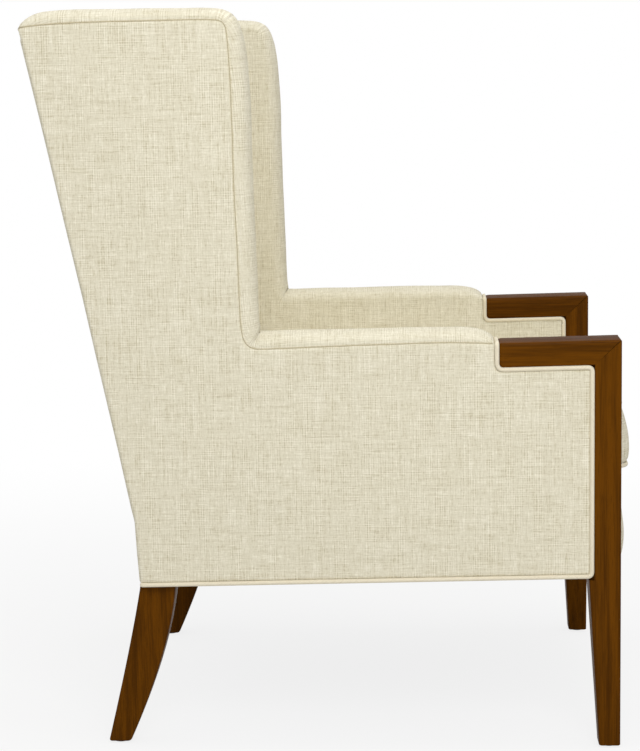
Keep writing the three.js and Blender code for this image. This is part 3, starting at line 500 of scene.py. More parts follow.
def times(tree, a, b, clamp=False):
    """Product of two values."""
    return math_of(tree, "MULTIPLY", a, b, clamp)


def stretched_noise(tree, vector, scale, detail=2.0, roughness=0.5):
    """Noise over a vector that is first multiplied by a scale in each direction."""
    moved = add_node(tree, "ShaderNodeVectorMath", {0: vector, 1: scale}, operation="MULTIPLY").outputs[0]
    return add_node(tree, "ShaderNodeTexNoise", {
        "Vector": moved, "Scale": 1.0, "Detail": detail, "Roughness": roughness}).outputs[0]


def swung(tree, value, amount):
    """A value's distance from one half, times an amount."""
    return times(tree, math_of(tree, "SUBTRACT", value, 0.5), amount)


def band(tree, value, low, high, to_low=0.0, to_high=1.0):
    """A value mapped from one range to another with soft ends."""
    return add_node(tree, "ShaderNodeMapRange", {
        "Value": value, "From Min": low, "From Max": high, "To Min": to_low, "To Max": to_high},
        interpolation_type="SMOOTHSTEP").outputs[0]


def mixed(tree, factor, a, b):
    """Colour a turned into colour b by a factor."""
    node = add_node(tree, "ShaderNodeMix", {0: factor, 6: a, 7: b}, data_type="RGBA")
    return node.outputs[2]


def new_group(name, inputs, outputs):
    """An empty shader group with named sockets, and its input and output nodes."""
    tree = bpy.data.node_groups.new(name, "ShaderNodeTree")
    kinds = {"colour": "NodeSocketColor", "vector": "NodeSocketVector", "value": "NodeSocketFloat"}
    for label, kind, default in inputs:
        made = tree.interface.new_socket(label, in_out="INPUT", socket_type=kinds[kind])
        if default is not None:
            made.default_value = default
    for label, kind in outputs:
        tree.interface.new_socket(label, in_out="OUTPUT", socket_type=kinds[kind])
    return tree, tree.nodes.new("NodeGroupInput").outputs, tree.nodes.new("NodeGroupOutput").inputs


def weave_group():
    """Plain weave of slubbed threads: colour and height from cloth coordinates in metres.

    Short noise along each thread direction gives pale and dark flecks, long noise gives streaks and the thin
    slubs, a wide one the slow change of tone, and evenly spaced sines the paired threads that stand out in
    places. The height is the higher of warp |sin u| (1 + p) / 2 and weft |sin v| (1 - p) / 2, where p is the
    product of sin u and sin v, so the threads pass over and under each other.
    """
    cord_spacing = 0.0034
    tree, given, made = new_group("slubbed weave", [
        ("Cloth", "vector", None), ("Light", "colour", None), ("Ground", "colour", None),
        ("Slub", "colour", None), ("Thread", "value", 0.0011), ("Contrast", "value", 1.0)],
        [("Color", "colour"), ("Height", "value")])
    cloth = given["Cloth"]

    def noise(warp_scale, weft_scale, detail=1.0, roughness=0.5):
        return stretched_noise(tree, cloth, (warp_scale, weft_scale, 1.0), detail, roughness)

    warp, weft = noise(640.0, 72.0, 2.0, 0.6), noise(72.0, 640.0, 2.0, 0.6)
    tone = plus(tree, swung(tree, warp, 1.4), swung(tree, weft, 1.2), swung(tree, noise(520.0, 260.0), 0.7))
    parts = add_node(tree, "ShaderNodeSeparateXYZ", {0: cloth}).outputs
    corded = band(tree, noise(70.0, 9.0), 0.40, 0.62)
    for axis, amount in ((0, 0.24), (1, 0.14)):
        cord = math_of(tree, "SINE", times(tree, parts[axis], 2 * math.pi / cord_spacing))
        tone = plus(tree, tone, times(tree, cord, times(tree, corded, amount)))
    tone = plus(tree, tone, swung(tree, noise(430.0, 13.0), 1.0), swung(tree, noise(13.0, 430.0), 0.9),
                swung(tree, noise(26.0, 26.0, 2.0), 0.25))
    slub = plus(tree, band(tree, noise(470.0, 26.0), 0.62, 0.74), band(tree, noise(24.0, 470.0), 0.60, 0.72),
                clamp=True)
    tone = times(tree, tone, given["Contrast"])
    dark = plus(tree, band(tree, tone, 0.02, -0.8), times(tree, slub, 0.35), clamp=True)
    colour = mixed(tree, band(tree, tone, 0.0, 0.6), given["Ground"], given["Light"])
    colour = mixed(tree, times(tree, dark, given["Contrast"], clamp=True), colour, given["Slub"])
    turn = math_of(tree, "DIVIDE", math.pi, given["Thread"])
    u, v = (math_of(tree, "SINE", times(tree, parts[axis], turn)) for axis in (0, 1))
    over = times(tree, times(tree, u, v), 0.5)
    warp_rise = times(tree, math_of(tree, "ABSOLUTE", u), plus(tree, over, 0.5))
    weft_rise = times(tree, math_of(tree, "ABSOLUTE", v), math_of(tree, "SUBTRACT", 0.5, over))
    height = plus(tree, math_of(tree, "MAXIMUM", warp_rise, weft_rise), times(tree, slub, 0.5),
                  swung(tree, warp, 0.7))
    tree.links.new(colour, made["Color"])
    tree.links.new(height, made["Height"])
    return tree


def grain_group():
    """Straight-grained wood along the Z of its vector: colour, roughness and height of figure and pores."""
    tree, given, made = new_group("wood grain", [
        ("Grain", "vector", None), ("Light", "colour", None), ("Dark", "colour", None),
        ("Figure", "value", 1.0), ("Polish", "value", 0.4)],
        [("Color", "colour"), ("Roughness", "value"), ("Height", "value")])
    grain = given["Grain"]
    drift = stretched_noise(tree, grain, (9.0, 9.0, 2.2), 2.0)
    rings = stretched_noise(tree, grain, (95.0, 95.0, 3.4), 3.0, 0.55)
    fibres = stretched_noise(tree, grain, (520.0, 520.0, 16.0), 2.0, 0.6)
    pore = band(tree, stretched_noise(tree, grain, (1100.0, 1100.0, 42.0), 1.0), 0.60, 0.70)
    tone = plus(tree, times(tree, rings, 0.62), times(tree, drift, 0.38), swung(tree, fibres, 0.35))
    figure = plus(tree, swung(tree, band(tree, tone, 0.34, 0.66), given["Figure"]), 0.5, clamp=True)
    colour = mixed(tree, figure, given["Dark"], given["Light"])
    colour = mixed(tree, times(tree, pore, 0.45), colour, given["Dark"])
    rough = plus(tree, given["Polish"], times(tree, pore, 0.25), swung(tree, fibres, 0.18))
    tree.links.new(colour, made["Color"])
    tree.links.new(rough, made["Roughness"])
    tree.links.new(math_of(tree, "SUBTRACT", times(tree, fibres, 0.35), pore), made["Height"])
    return tree


def new_material(name, roughness=0.6, **constants):
    """A material with one Principled BSDF, whose plain numbers are set on its own sockets."""
    material = bpy.data.materials.new(name)
    material.use_nodes = True
    tree = material.node_tree
    tree.nodes.clear()
    shader = add_node(tree, "ShaderNodeBsdfPrincipled", {"Roughness": roughness})
    for label, value in constants.items():
        shader.inputs[label.replace("_", " ")].default_value = value
    tree.links.new(shader.outputs[0], add_node(tree, "ShaderNodeOutputMaterial").inputs[0])
    return material, tree, shader


def bump(tree, shader, height, strength, distance):
    """Bends the shader's normal by a height."""
    made = add_node(tree, "ShaderNodeBump", {"Height": height, "Strength": strength, "Distance": distance})
    tree.links.new(made.outputs[0], shader.inputs["Normal"])


def add_group(tree, name, make, vector, values):
    """A shared shader group, made the first time it is needed, with its vector linked and its values set."""
    node = add_node(tree, "ShaderNodeGroup", node_tree=bpy.data.node_groups.get(name) or make())
    tree.links.new(vector, node.inputs[0])
    for label, value in values.items():
        node.inputs[label].default_value = value
    return node.outputs


def cloth_material(name, light, ground, slub, contrast=1.0, bias=0.0, relief=0.7):
    """Cover cloth in the slubbed weave. Bias turns the threads, as on piping cut across the cloth."""
    material, tree, shader = new_material(name, 0.92, Sheen_Weight=0.12, Sheen_Roughness=0.6,
                                          Specular_IOR_Level=0.22)
    cloth = add_node(tree, "ShaderNodeUVMap", uv_map="cloth").outputs[0]
    if bias:
        turn = {"Vector": cloth, "Rotation": (0.0, 0.0, bias)}
        cloth = add_node(tree, "ShaderNodeMapping", turn).outputs[0]
    weave = add_group(tree, "slubbed weave", weave_group, cloth, {
        "Light": (*light, 1.0), "Ground": (*ground, 1.0), "Slub": (*slub, 1.0), "Contrast": contrast})
    tree.links.new(weave["Color"], shader.inputs["Base Color"])
    bump(tree, shader, weave["Height"], relief, 0.0006)
    return material


def cover_cloth(colours):
    """The chair's cover cloth, made once."""
    known = bpy.data.materials.get("cover cloth")
    return known or cloth_material(
        "cover cloth", colours.cloth_light, colours.cloth_ground, colours.cloth_slub)


def piping_cloth(colours):
    """The same cloth cut on the bias, as the piping has it, made once."""
    known = bpy.data.materials.get("piping cloth")
    return known or cloth_material("piping cloth", colours.piping_light, colours.piping, colours.piping_slub,
                                   contrast=0.6, bias=0.7854, relief=0.5)


def wood_material(name, light, dark, turn=(0.0, 0.0, 0.0), polish=0.36, figure=1.0, shine=0.3):
    """Wood whose grain runs along Z before the turn."""
    material, tree, shader = new_material(name, polish, Specular_IOR_Level=shine)
    place = add_node(tree, "ShaderNodeTexCoord").outputs["Object"]
    place = add_node(tree, "ShaderNodeMapping", {"Vector": place, "Rotation": turn}).outputs[0]
    grain = add_group(tree, "wood grain", grain_group, place, {
        "Light": (*light, 1.0), "Dark": (*dark, 1.0), "Polish": polish, "Figure": figure})
    tree.links.new(grain["Color"], shader.inputs["Base Color"])
    tree.links.new(grain["Roughness"], shader.inputs["Roughness"])
    bump(tree, shader, grain["Height"], 0.15, 0.0004)
    return material


def mottled_material(name, colour, other, scale, roughness, relief=0.2, metal=0.0):
    """A plain stuff whose colour and height vary with one stretched noise."""
    material, tree, shader = new_material(name, roughness, Metallic=metal)
    place = add_node(tree, "ShaderNodeTexCoord").outputs["Object"]
    noise = stretched_noise(tree, place, scale, 3.0, 0.6)
    tree.links.new(mixed(tree, band(tree, noise, 0.35, 0.65), (*colour, 1.0), (*other, 1.0)),
                   shader.inputs["Base Color"])
    bump(tree, shader, noise, relief, 0.0005)
    return material


def stuff(name):
    """A plain stuff of the list, made the first time it is needed."""
    colour, other, *rest = STUFFS[name]
    return bpy.data.materials.get(name) or mottled_material(name, linear(*colour), linear(*other), *rest)


# The outline of a padded side.
def wood_notch(front, corner):
    """The cover's edge under the show arm and up behind its end, as (depth, height, band)."""
    rear, top = ARM_SEAM[0][:2]
    path = rounded([(front, arm_under(front) - PIPING_ROOM), (rear, arm_under(rear) - PIPING_ROOM),
                    (rear, top)], [corner])
    return np.column_stack([path, np.zeros(len(path))])


def side_seam(front, corner):
    """The whole seam of a side as (depth, height, band): under the arm, arm, wing front, and top to the rear.

    Also gives how far along it the wood's end, the arm's nose, the inside corner and the top corner are.
    """
    notch = wood_notch(front, corner)
    seam = smooth_through(np.array(ARM_SEAM + WING_SEAM + TOP_SEAM), 1400)
    path = np.concatenate([notch, seam[1:]])
    walked = lengths_along(path[:, :2])
    wood_end = walked[len(notch) // 2]
    nose = walked[len(notch) - 1]
    inner, top = (walked[np.argmin(np.linalg.norm(path[:, :2] - WING_SEAM[k][:2], axis=1))] for k in (1, -1))
    return path, wood_end, nose, inner, top


def coons(across_top, across_foot, front_edge, rear_edge_line, s, t):
    """Coons patch: the blend of each pair of facing edges, less the blend of the four corners.

    The edges are point arrays: top and foot over s, front and rear over t.
    """
    s, t = s[None, :, None], t[:, None, None]
    ruled = (1 - t) * across_top[None] + t * across_foot[None]
    swept = (1 - s) * front_edge[:, None] + s * rear_edge_line[:, None]
    corners = ((1 - s) * (1 - t) * across_top[0] + s * (1 - t) * across_top[-1]
               + (1 - s) * t * across_foot[0] + s * t * across_foot[-1])
    return ruled + swept - corners


def side_face(front, foot_height, rear_line, seam_path, marks):
    """Grid of (depth, height) over a side below its seam, the distances used along it, and its outline.

    The patch has the seam up to the top corner as its top, the bottom and the rear as its foot, and the top
    edge as its rear. Marks pair the places where the seam and the foot turn.
    """
    wood_end, nose, inner, top = marks
    walked = lengths_along(seam_path[:, :2])
    s_at = clustered(top, [0, wood_end, nose, inner, top], 0.0055, 0.0012, 0.009)
    upper = sampled(seam_path[:, :2], s_at)
    foot = np.array([[front, foot_height(front)]] + [[d, foot_height(d)] for d in np.linspace(0.1, 0.64, 12)])
    foot = np.concatenate([foot, rear_line])
    foot_walked = lengths_along(foot)
    turn_at = foot_walked[len(foot) - len(rear_line)]
    foot_marks = [0, 0.118, 0.172, turn_at, foot_walked[-1]]
    f_at = np.interp(s_at, [0, wood_end, nose, inner, top], foot_marks)
    lower = sampled(foot, f_at)
    rise = upper[0, 1] - lower[0, 1]
    t = spread(50)
    front_edge = np.column_stack([np.full(len(t), front), upper[0, 1] - rise * t])
    top_at = top + (walked[-1] - top) * t
    top_edge = sampled(seam_path[:, :2], top_at)
    top_edge[-1] = lower[-1]
    share = s_at / top
    grid = coons(upper, lower, front_edge, top_edge, share, t)
    outline = np.concatenate([lower, top_edge[::-1], upper[::-1], front_edge])
    return grid, s_at, top_at, outline


# Covers.
class ChairOperator(bpy.types.Operator):
    """Shared part of the chair's operators."""

    bl_options = {"REGISTER", "UNDO"}

    def execute(self, context):
        scene = context.scene
        self.make(scene.chair_sizes, scene.chair_colours, scene.chair_studio)
        return {"FINISHED"}


def band_profile(count):
    """Across and swell of the padded band's section, from the seam to the inside: a superellipse half.

    With a from 0 to pi, across runs from 1 to -1 as the 0.86 power of cos a, and swell as that of sin a.
    """
    a = np.pi * spread(count)
    across = np.sign(np.cos(a)) * np.abs(np.cos(a)) ** 0.86
    return across, np.abs(np.sin(a)) ** 0.86


def padded_band(path, at, inner_mark, sizes):
    """The crowned band over a side: at each place of the seam, the section stands out along its normal.

    A point is the seam, plus normal times band times swell, at x between the outer and the inner face. Beside
    the seam it tucks in, and a small ridge of the folded allowance runs along it. The arm's part dips under
    the wing's part where they meet, and at the inside corner both stop at the corner's mitre plane. The cloth
    coordinates unroll the band from its inner row.
    """
    walked = lengths_along(path[:, :2])
    tangent = np.gradient(path[:, :2], walked, axis=0)
    kernel = np.hanning(9) / np.hanning(9).sum()
    padded_tangent = np.pad(tangent, ((4, 4), (0, 0)), mode="edge")
    tangent = np.stack([np.convolve(padded_tangent[:, k], kernel, "valid") for k in range(2)], -1)
    seam = sampled(path, at, walked)
    along = np.stack([np.interp(at, walked, tangent[:, k]) for k in range(2)], -1)
    along /= np.linalg.norm(along, axis=1, keepdims=True)
    normal = np.stack([-along[:, 1], along[:, 0]], -1)
    across, swell = band_profile(30)
    outer_face = OUTER_X - BAND_INSET
    x = (outer_face + INNER_X) / 2 + (outer_face - INNER_X) / 2 * across
    crown = seam[:, 2]
    rise = crown[:, None] * swell[None, :]
    steps = np.hypot(np.diff(x)[None, :], np.diff(rise, axis=1))
    from_seam = np.concatenate([np.zeros((len(at), 1)), np.cumsum(steps, axis=1)], axis=1)
    from_inside = from_seam[:, -1:] - from_seam
    share = ramp(crown, 0.018)[:, None]
    ridge = RIDGE_HEIGHT * bell(from_seam - RIDGE_PLACE, RIDGE_WIDTH) * share
    tuck = TUCK_DEPTH * bell(from_seam, TUCK_WIDTH) * share
    before = (inner_mark - at)[:, None]
    fold = np.cos(2 * np.pi * before / FOLD_LENGTH)
    pucker = sizes.pucker * bell(before, FOLD_ZONE) * fold * bell(from_seam - FOLD_PLACE, FOLD_WIDTH)
    sag = np.where(before > 0, -DIP_DEPTH * bell(before, DIP_LENGTH), 0) * swell[None, :]
    wave = unevenness(at[:, None] + 0 * from_seam, from_seam, WAVE_SIZE)
    lift = rise + ridge - tuck + pucker + sag + WAVE_HEIGHT * wave * share * swell[None, :]
    place = seam[:, None, :2] + normal[:, None, :] * lift[..., None]
    corner = np.array([np.interp(inner_mark, walked, path[:, k]) for k in range(2)])
    onward = np.array([np.interp(inner_mark, at, along[:, k]) for k in range(2)])
    onward /= np.linalg.norm(onward)
    past = (place - corner) @ onward
    past = np.where(at[:, None] < inner_mark, np.maximum(past, 0), np.minimum(past, 0))
    place -= past[..., None] * onward
    points = np.zeros((len(at), len(across), 3))
    points[..., 0] = x[None, :] - 0.0008 * bell(from_seam, 0.0018)
    points[..., 1:] = place
    square = np.where(np.abs(normal[:, :1]) > np.abs(normal[:, 1:]),
                      np.sign(normal[:, :1]) * [1, 0], np.sign(normal[:, 1:]) * [0, 1])
    cloth = seam[:, None, :2] + square[:, None, :] * from_inside[..., None]
    return points, cloth


class CHAIR_OT_padded_sides(ChairOperator):
    """Inside arm and wing with the padded band over them, one on each side"""

    bl_idname = "chair.padded_sides"
    bl_label = "Padded sides"

    def make(self, sizes, colours, studio):
        front, drop_end, inside_rear = PAD_FRONT, 1.036, 0.0004
        path, *marks = side_seam(front, PAD_CORNER)
        heights = np.linspace(1.048, drop_end, 8)
        tail = np.column_stack([rear_edge(heights) - inside_rear, heights, np.zeros(8)])
        path = np.concatenate([path, tail])
        heights = np.linspace(0.36, 1.0345, 30)
        rear = np.column_stack([rear_edge(heights) - PAD_PLANE, heights])
        rear = np.concatenate([rear, [[rear_edge(drop_end) - inside_rear, drop_end]]])
        grid, s_at, top_at, _ = side_face(front, lambda d: seat_line(d, PAD_DROP), rear, path, marks)
        at = np.concatenate([s_at, top_at[1:]])
        band_points, band_cloth = padded_band(path, at, marks[2], sizes)
        open_edge = sampled(path[:, :2], clustered(marks[1], [0], 0.002, 0.002, 0.01))
        front_line = np.array([[front, seat_line(front, PAD_DROP)], [front, open_edge[0, 1]]])
        wood_side = np.concatenate([front_line, open_edge])
        edge = distance_to(grid, wood_side)
        cushion_top, back_room, fullness, wave = 0.108, 0.10, 0.0045, 0.0007
        above = ramp(grid[..., 1] - seat_line(grid[..., 0], -cushion_top), 0.05)
        seam_gap = distance_to(grid, sampled(path[:, :2], at))
        back = ramp(rear_edge(grid[..., 1]) - back_room - grid[..., 0], 0.06)
        swell = fullness * above * (1 - bell(seam_gap, 0.045)) * back
        soft = wave * unevenness(grid[..., 0], grid[..., 1], 0.16) * above * ramp(seam_gap, 0.03)
        x = INNER_X + tucked(edge, sizes) * 0.8 - swell + soft
        face = np.concatenate([x[..., None], grid], axis=-1)
        face[0, :, 0] = INNER_X
        face[:, -1, 0] = INNER_X
        for side, label in SIDES:
            surface = Surface().add(band_points, band_cloth).add(face)
            piece = surface.build(f"padded_side_{label}", cover_cloth(colours), side,
                                  outward_from=(0.333, 0.42, 0.40), merge=4e-5)
            thicken(piece, sizes.cover_thickness)
            dress(piece, "chair", "cover_cloth", f"inside_arm_and_wing_{label}")


class CHAIR_OT_outside_panels(ChairOperator):
    """Flat outside arm and wing panel, one on each side"""

    bl_idname = "chair.outside_panels"
    bl_label = "Outside panels"

    def make(self, sizes, colours, studio):
        end_depth, end_height = 0.8560, 1.0500
        path, *marks = side_seam(PANEL_FRONT, PANEL_CORNER)
        path = np.concatenate([path, [[end_depth, end_height, 0]]])
        heights = np.concatenate([[0.2465], np.linspace(0.256, 1.046, 44)])
        rear = np.column_stack([rear_edge(heights) - 0.0004, heights])
        rear[0, 1] = seat_line(rear[0, 0], PANEL_DROP)
        rear = np.concatenate([rear, [[end_depth, end_height]]])
        grid, _, _, outline = side_face(PANEL_FRONT, lambda d: seat_line(d, PANEL_DROP), rear, path, marks)
        edge = distance_to(grid, outline)
        swell = sizes.panel_swell * (1 - np.exp(-(edge / 0.07) ** 1.3))
        soft = 0.0005 * unevenness(grid[..., 0], grid[..., 1], 0.21) * ramp(edge, 0.05)
        x = OUTER_X - 0.0012 - tucked(edge, sizes) + swell + soft
        face = np.concatenate([x[..., None], grid], axis=-1)
        for side, label in SIDES:
            piece = Surface().add(face).build(
                f"outside_arm_{label}", cover_cloth(colours), side,
                outward_from=(0.0, 0.45, 0.5), merge=2e-5)
            thicken(piece, sizes.cover_thickness)
            dress(piece, "chair", "cover_cloth", f"outside_panel_{label}")


class CHAIR_OT_seams(ChairOperator):
    """Sewn line between the outside panel and the padded band, one on each side: a thin cord in the thread
    colour, darkened as painted shade of the seam's crease
    """

    bl_idname = "chair.seams"
    bl_label = "Seam lines"

    def make(self, sizes, colours, studio):
        path, _, nose, inner, top = side_seam(PANEL_FRONT, PANEL_CORNER)
        end_room = 0.003
        run = lengths_along(path[:, :2])[-1] - nose - 2 * end_room
        at = clustered(run, [inner - nose, top - nose], 0.006, 0.0015, 0.02) + nose + end_room
        inset, thread_radius = 0.0030, 0.0010
        line = sampled(path[:, :2], at)
        points = np.column_stack([np.full(len(line), OUTER_X - inset), line])
        rings, cloth = tube(points, thread_radius, 8)
        # The seam line is coloured as thread darkened with painted shade of the crease, and flecked darker
        # along its length.
        material = mottled_material("seam thread and painted shade", colours.thread, tuple(0.8 * v for v in colours.thread),
                                    (90.0, 400.0, 400.0), 0.9)
        for side, label in SIDES:
            piece = Surface().solid(rings, cloth).build(f"seam_line_{label}", material, side)
            dress(piece, "chair", "cover_cloth")


def back_profile(bulge, droop):
    """Side-view loop of the inside back, for arrays of how far its face stands back and its top droops."""
    foot_depth = 0.592
    top_front = rear_edge(1.053) - PAD_PLANE - 0.062
    flat = np.zeros_like(bulge)
    foot = seat_line(foot_depth, -0.0006)

    def at(depth, height):
        return np.stack([depth + flat, height + flat], -1)

    face = smooth_through(np.stack([
        at(foot_depth + 0.012 + 0 * bulge, foot), at(foot_depth + bulge, foot + 0.05),
        at(foot_depth + 0.003 + bulge, foot + 0.12), at(0.604 + bulge, 0.60),
        at((0.604 + top_front) / 2 + bulge, 0.8265), at(top_front - 0.012 + bulge, 0.985),
        at(top_front + bulge + 0.002, 1.030), at(top_front + 0.018 + 0.4 * bulge, 1.058 - 0.6 * droop),
        at(top_front + 0.045, 1.0715 - droop), at(0.8140, 1.0735 - droop), at(0.8400, 1.0700 - droop),
        at(0.8525, 1.0610 - 0.6 * droop), at(0.8562, 1.0500), at(rear_edge(1.0378) + 0.0004, 1.0378)]), 120)
    rear = np.stack([at(rear_edge(1.0374) - PAD_PLANE, 1.0374),
                     at(rear_edge(0.72) - PAD_PLANE, 0.72),
                     at(rear_edge(0.388) - PAD_PLANE, 0.3880)])
    return np.concatenate([face, rear])


class CHAIR_OT_back_covers(ChairOperator):
    """Crowned inside back, and the outside back between its posts"""

    bl_idname = "chair.back_covers"
    bl_label = "Back covers"

    def make(self, sizes, colours, studio):
        material = cover_cloth(colours)
        reach = INNER_X - 0.0006
        a = spread_across(90)
        side_fall, top_fall, wave, pull_depth, pull_length = 0.017, 0.0125, 0.0011, 0.0014, 0.052
        bulge = side_fall * (1 - np.sqrt(np.clip(1 - np.abs(a) ** 3.4, 0, 1)))
        droop = top_fall * np.abs(a) ** 7
        loop = back_profile(bulge, droop)
        x = reach * a[None, :] + 0 * loop[..., 0]
        inward = 1 - np.abs(a)
        soft = wave * unevenness(x, loop[..., 1], 0.19) * ramp(inward, 0.12)[None, :]
        pull = pull_depth * bell(inward * reach, 0.03) * np.sin(loop[..., 1] * 2 * np.pi / pull_length)
        shown = ramp(0.86 - loop[..., 0], 0.02) * (np.arange(len(loop)) < 100)[:, None]
        points = np.stack([x, loop[..., 0] + (soft + pull) * shown, loop[..., 1]], -1)
        cloth = np.stack([x, np.broadcast_to(lengths_along(loop[:, len(a) // 2])[:, None], x.shape)], -1)
        piece = Surface().solid(np.swapaxes(points, 0, 1), np.swapaxes(cloth, 0, 1)).build(
            "inside_back_pad", material)
        dress(piece, "chair", "cover_cloth", "inside_back")

        self.outside(sizes, material)

    def outside(self, sizes, material):
        """Outside back: the rear edge's line across the width, tucked in at its edges, slightly swollen."""
        half, low, high = 0.3632, seat_line(REAR_FOOT, PANEL_DROP), FRAME_TOP
        proud, wave = 0.0018, 0.0006
        x, height = np.meshgrid((2 * spread(110) - 1) * half, low + (high - low) * spread(120))
        edge = np.minimum(half - np.abs(x), np.minimum(height - low, high - height))
        stand = (proud - tucked(edge, sizes) + sizes.panel_swell * (1 - np.exp(-(edge / 0.08) ** 1.3))
                 + wave * unevenness(x, height, 0.24) * ramp(edge, 0.05))
        points = np.stack([x, rear_edge(height) + stand, height], -1)
        piece = Surface().add(points, points[..., [0, 2]]).build(
            "outside_back_panel", material, outward_from=(0.0, 0.4, 0.6))
        thicken(piece, sizes.cover_thickness)
        dress(piece, "chair", "cover_cloth", "outside_back")


class CHAIR_OT_seat_front(ChairOperator):
    """Crowned front border under the cushion, and the padded deck that the cushion lies on"""

    bl_idname = "chair.seat_front"
    bl_label = "Seat front and deck"

    def make(self, sizes, colours, studio):
        material = cover_cloth(colours)
        reach = INNER_X - 0.0008
        a = spread_across(90)
        back, thickness, fullness, wave = 0.0077, 0.0080, 0.0120, 0.0008
        low, high = seat_line(0, PANEL_DROP), seat_line(0, 0.0004)
        share = spread(40)
        crown = fullness * np.sin(np.pi * share**0.56) ** 1.15
        swell = np.sqrt(1 - np.abs(a) ** 24)[None, :] * crown[:, None]
        height = low + (high - low) * share[:, None] + 0 * swell
        soft = wave * unevenness(reach * a[None, :], height, 0.12) * (np.sin(np.pi * share) ** 2)[:, None]
        front = np.stack([reach * a[None, :] + 0 * swell, back - thickness - swell + soft, height], -1)
        rear = front[[-1, 0]].copy()
        rear[..., 1] = back
        loop = np.concatenate([front, rear])
        walked = np.broadcast_to(lengths_along(loop[:, len(a) // 2])[:, None], loop.shape[:2])
        cloth = np.stack([loop[..., 0], walked], -1)
        piece = Surface().solid(np.swapaxes(loop, 0, 1), np.swapaxes(cloth, 0, 1)).build(
            "seat_front_border", material)
        dress(piece, "chair", "cover_cloth", "front_border")
        self.deck(material)
        self.roll()

    def deck(self, material):
        """Padded deck: a top that drops at its edges and has shallow dimples, over a flat underside."""
        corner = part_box("deck_pad")[1]
        y0, y1, half = DECK_FRONT, corner.y - FRONT_Y, corner.x
        x, y = np.meshgrid(half * spread_across(70), y0 + (y1 - y0) * spread(70))
        edge = np.minimum(half - np.abs(x), np.minimum(y - y0, y1 - y))
        edge_drop, edge_width, dimple_depth = 0.004, 0.009, 0.0012
        sink = edge_drop * quarter(ramp(edge, edge_width))
        dimple = dimple_depth * (0.5 + 0.5 * unevenness(x, y, 0.17)) * ramp(edge, 0.03)
        top = np.stack([x, y, seat_line(y, sink + dimple + 0.0002)], -1)
        under = top.copy()
        under[..., 2] = seat_line(y, 0.0119)
        surface = Surface().add(top, top[..., :2]).add(under, under[..., :2])
        for side in (np.s_[0], np.s_[-1], np.s_[:, 0], np.s_[:, -1]):
            wall = np.stack([top[side], under[side]])
            surface.add(wall, wall[..., :2])
        piece = surface.build("seat_deck", material)
        dress(piece, "chair", "cover_cloth", "deck_pad")

    def roll(self):
        """Foam roll inside the seat's front edge: a section with a round top and the seat's pitch."""
        low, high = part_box("edge_roll")
        y0, y1, half, ease = low.y - FRONT_Y, high.y - FRONT_Y, high.x, 0.004
        turn = np.linspace(0, np.pi / 2, 8)
        end, drawn_in = half - ease * (1 - np.cos(turn)), ease * (1 - np.sin(turn))
        middle = np.linspace(ease - half, half - ease, 26)[1:-1]
        x = np.concatenate([-end, middle, end[::-1]])
        inset = np.concatenate([drawn_in, 0 * middle, drawn_in[::-1]])
        slope = SEAT_PITCH * (y1 - y0) / 2
        crown = 0.42 * (y1 - y0)
        section = rounded_section(y0 + inset, y1 - inset, low.z + slope + inset, high.z - slope - inset,
                                  np.tile([crown - ease, crown - ease, 0.0005, 0.0005], (len(x), 1)), 8)
        height = section[..., 1] - SEAT_PITCH * (section[..., 0] - (y0 + y1) / 2)
        rings = np.stack([x[:, None] + 0 * height, section[..., 0], height], -1)
        piece = Surface().solid(rings).build("edge_roll_foam", stuff("foam"), merge=1e-6)
        dress(piece, "chair", "foam", "edge_roll")


class CHAIR_OT_piping(ChairOperator):
    """Piping round the wood and along the bottom of each side, and along the front and back"""

    bl_idname = "chair.piping"
    bl_label = "Piping"

    def make(self, sizes, colours, studio):
        radius = sizes.piping_radius
        material = piping_cloth(colours)
        rise, proud = 0.0035, 0.0016
        outside, inside = OUTER_X - radius + proud, INNER_X + radius - proud
        post_line, end_line = POST_DEPTH + rise, ARM_END + rise

        def low(depth):
            return seat_line(depth, PIPING_DROP) + radius

        top = ARM_HEIGHT - ARM_FALL * ARM_END - radius / 3
        rear_line = REAR_FOOT - proud
        foot = (inside, post_line, seat_line(post_line, -PIPING_ROOM))
        corners = [
            (outside - 0.0060, rear_line, low(rear_line)), (outside, rear_line, low(rear_line)),
            (outside, post_line, low(post_line)), (outside, post_line, arm_under(post_line) - rise),
            (outside, end_line, arm_under(end_line) - rise), (outside, end_line, top),
            (inside, end_line, top), (inside, end_line, arm_under(end_line) - rise),
            (inside, post_line, arm_under(post_line) - rise), foot]
        bend = sizes.piping_bend
        bends = [0.5, 0.7, 0.75, 1.0, 0.4, 0.4, 1.0, 0.75]
        line = rounded(corners, [share * bend for share in bends], 10)
        length = lengths_along(line)[-1]
        line = sampled(line, np.unique(np.concatenate([np.arange(0, length, 0.006), lengths_along(line)])))
        rings, cloth = tube(line, radius, 14)
        for side, label in SIDES:
            piece = Surface().solid(rings, cloth).build(f"piping_side_{label}", material, side)
            dress(piece, "chair", "piping", f"side_piping_{label}")
        for name, node, depth, half in (
                ("piping_front", "front_piping", 0.0, INNER_X - 0.0006),
                ("piping_back", "back_piping", rear_line, outside - 0.0063)):
            x = np.linspace(-half, half, 120)
            line = np.column_stack([x, np.full(120, depth), np.full(120, low(depth))])
            piece = Surface().solid(*tube(line, radius, 14)).build(name, material)
            dress(piece, "chair", "piping", node)


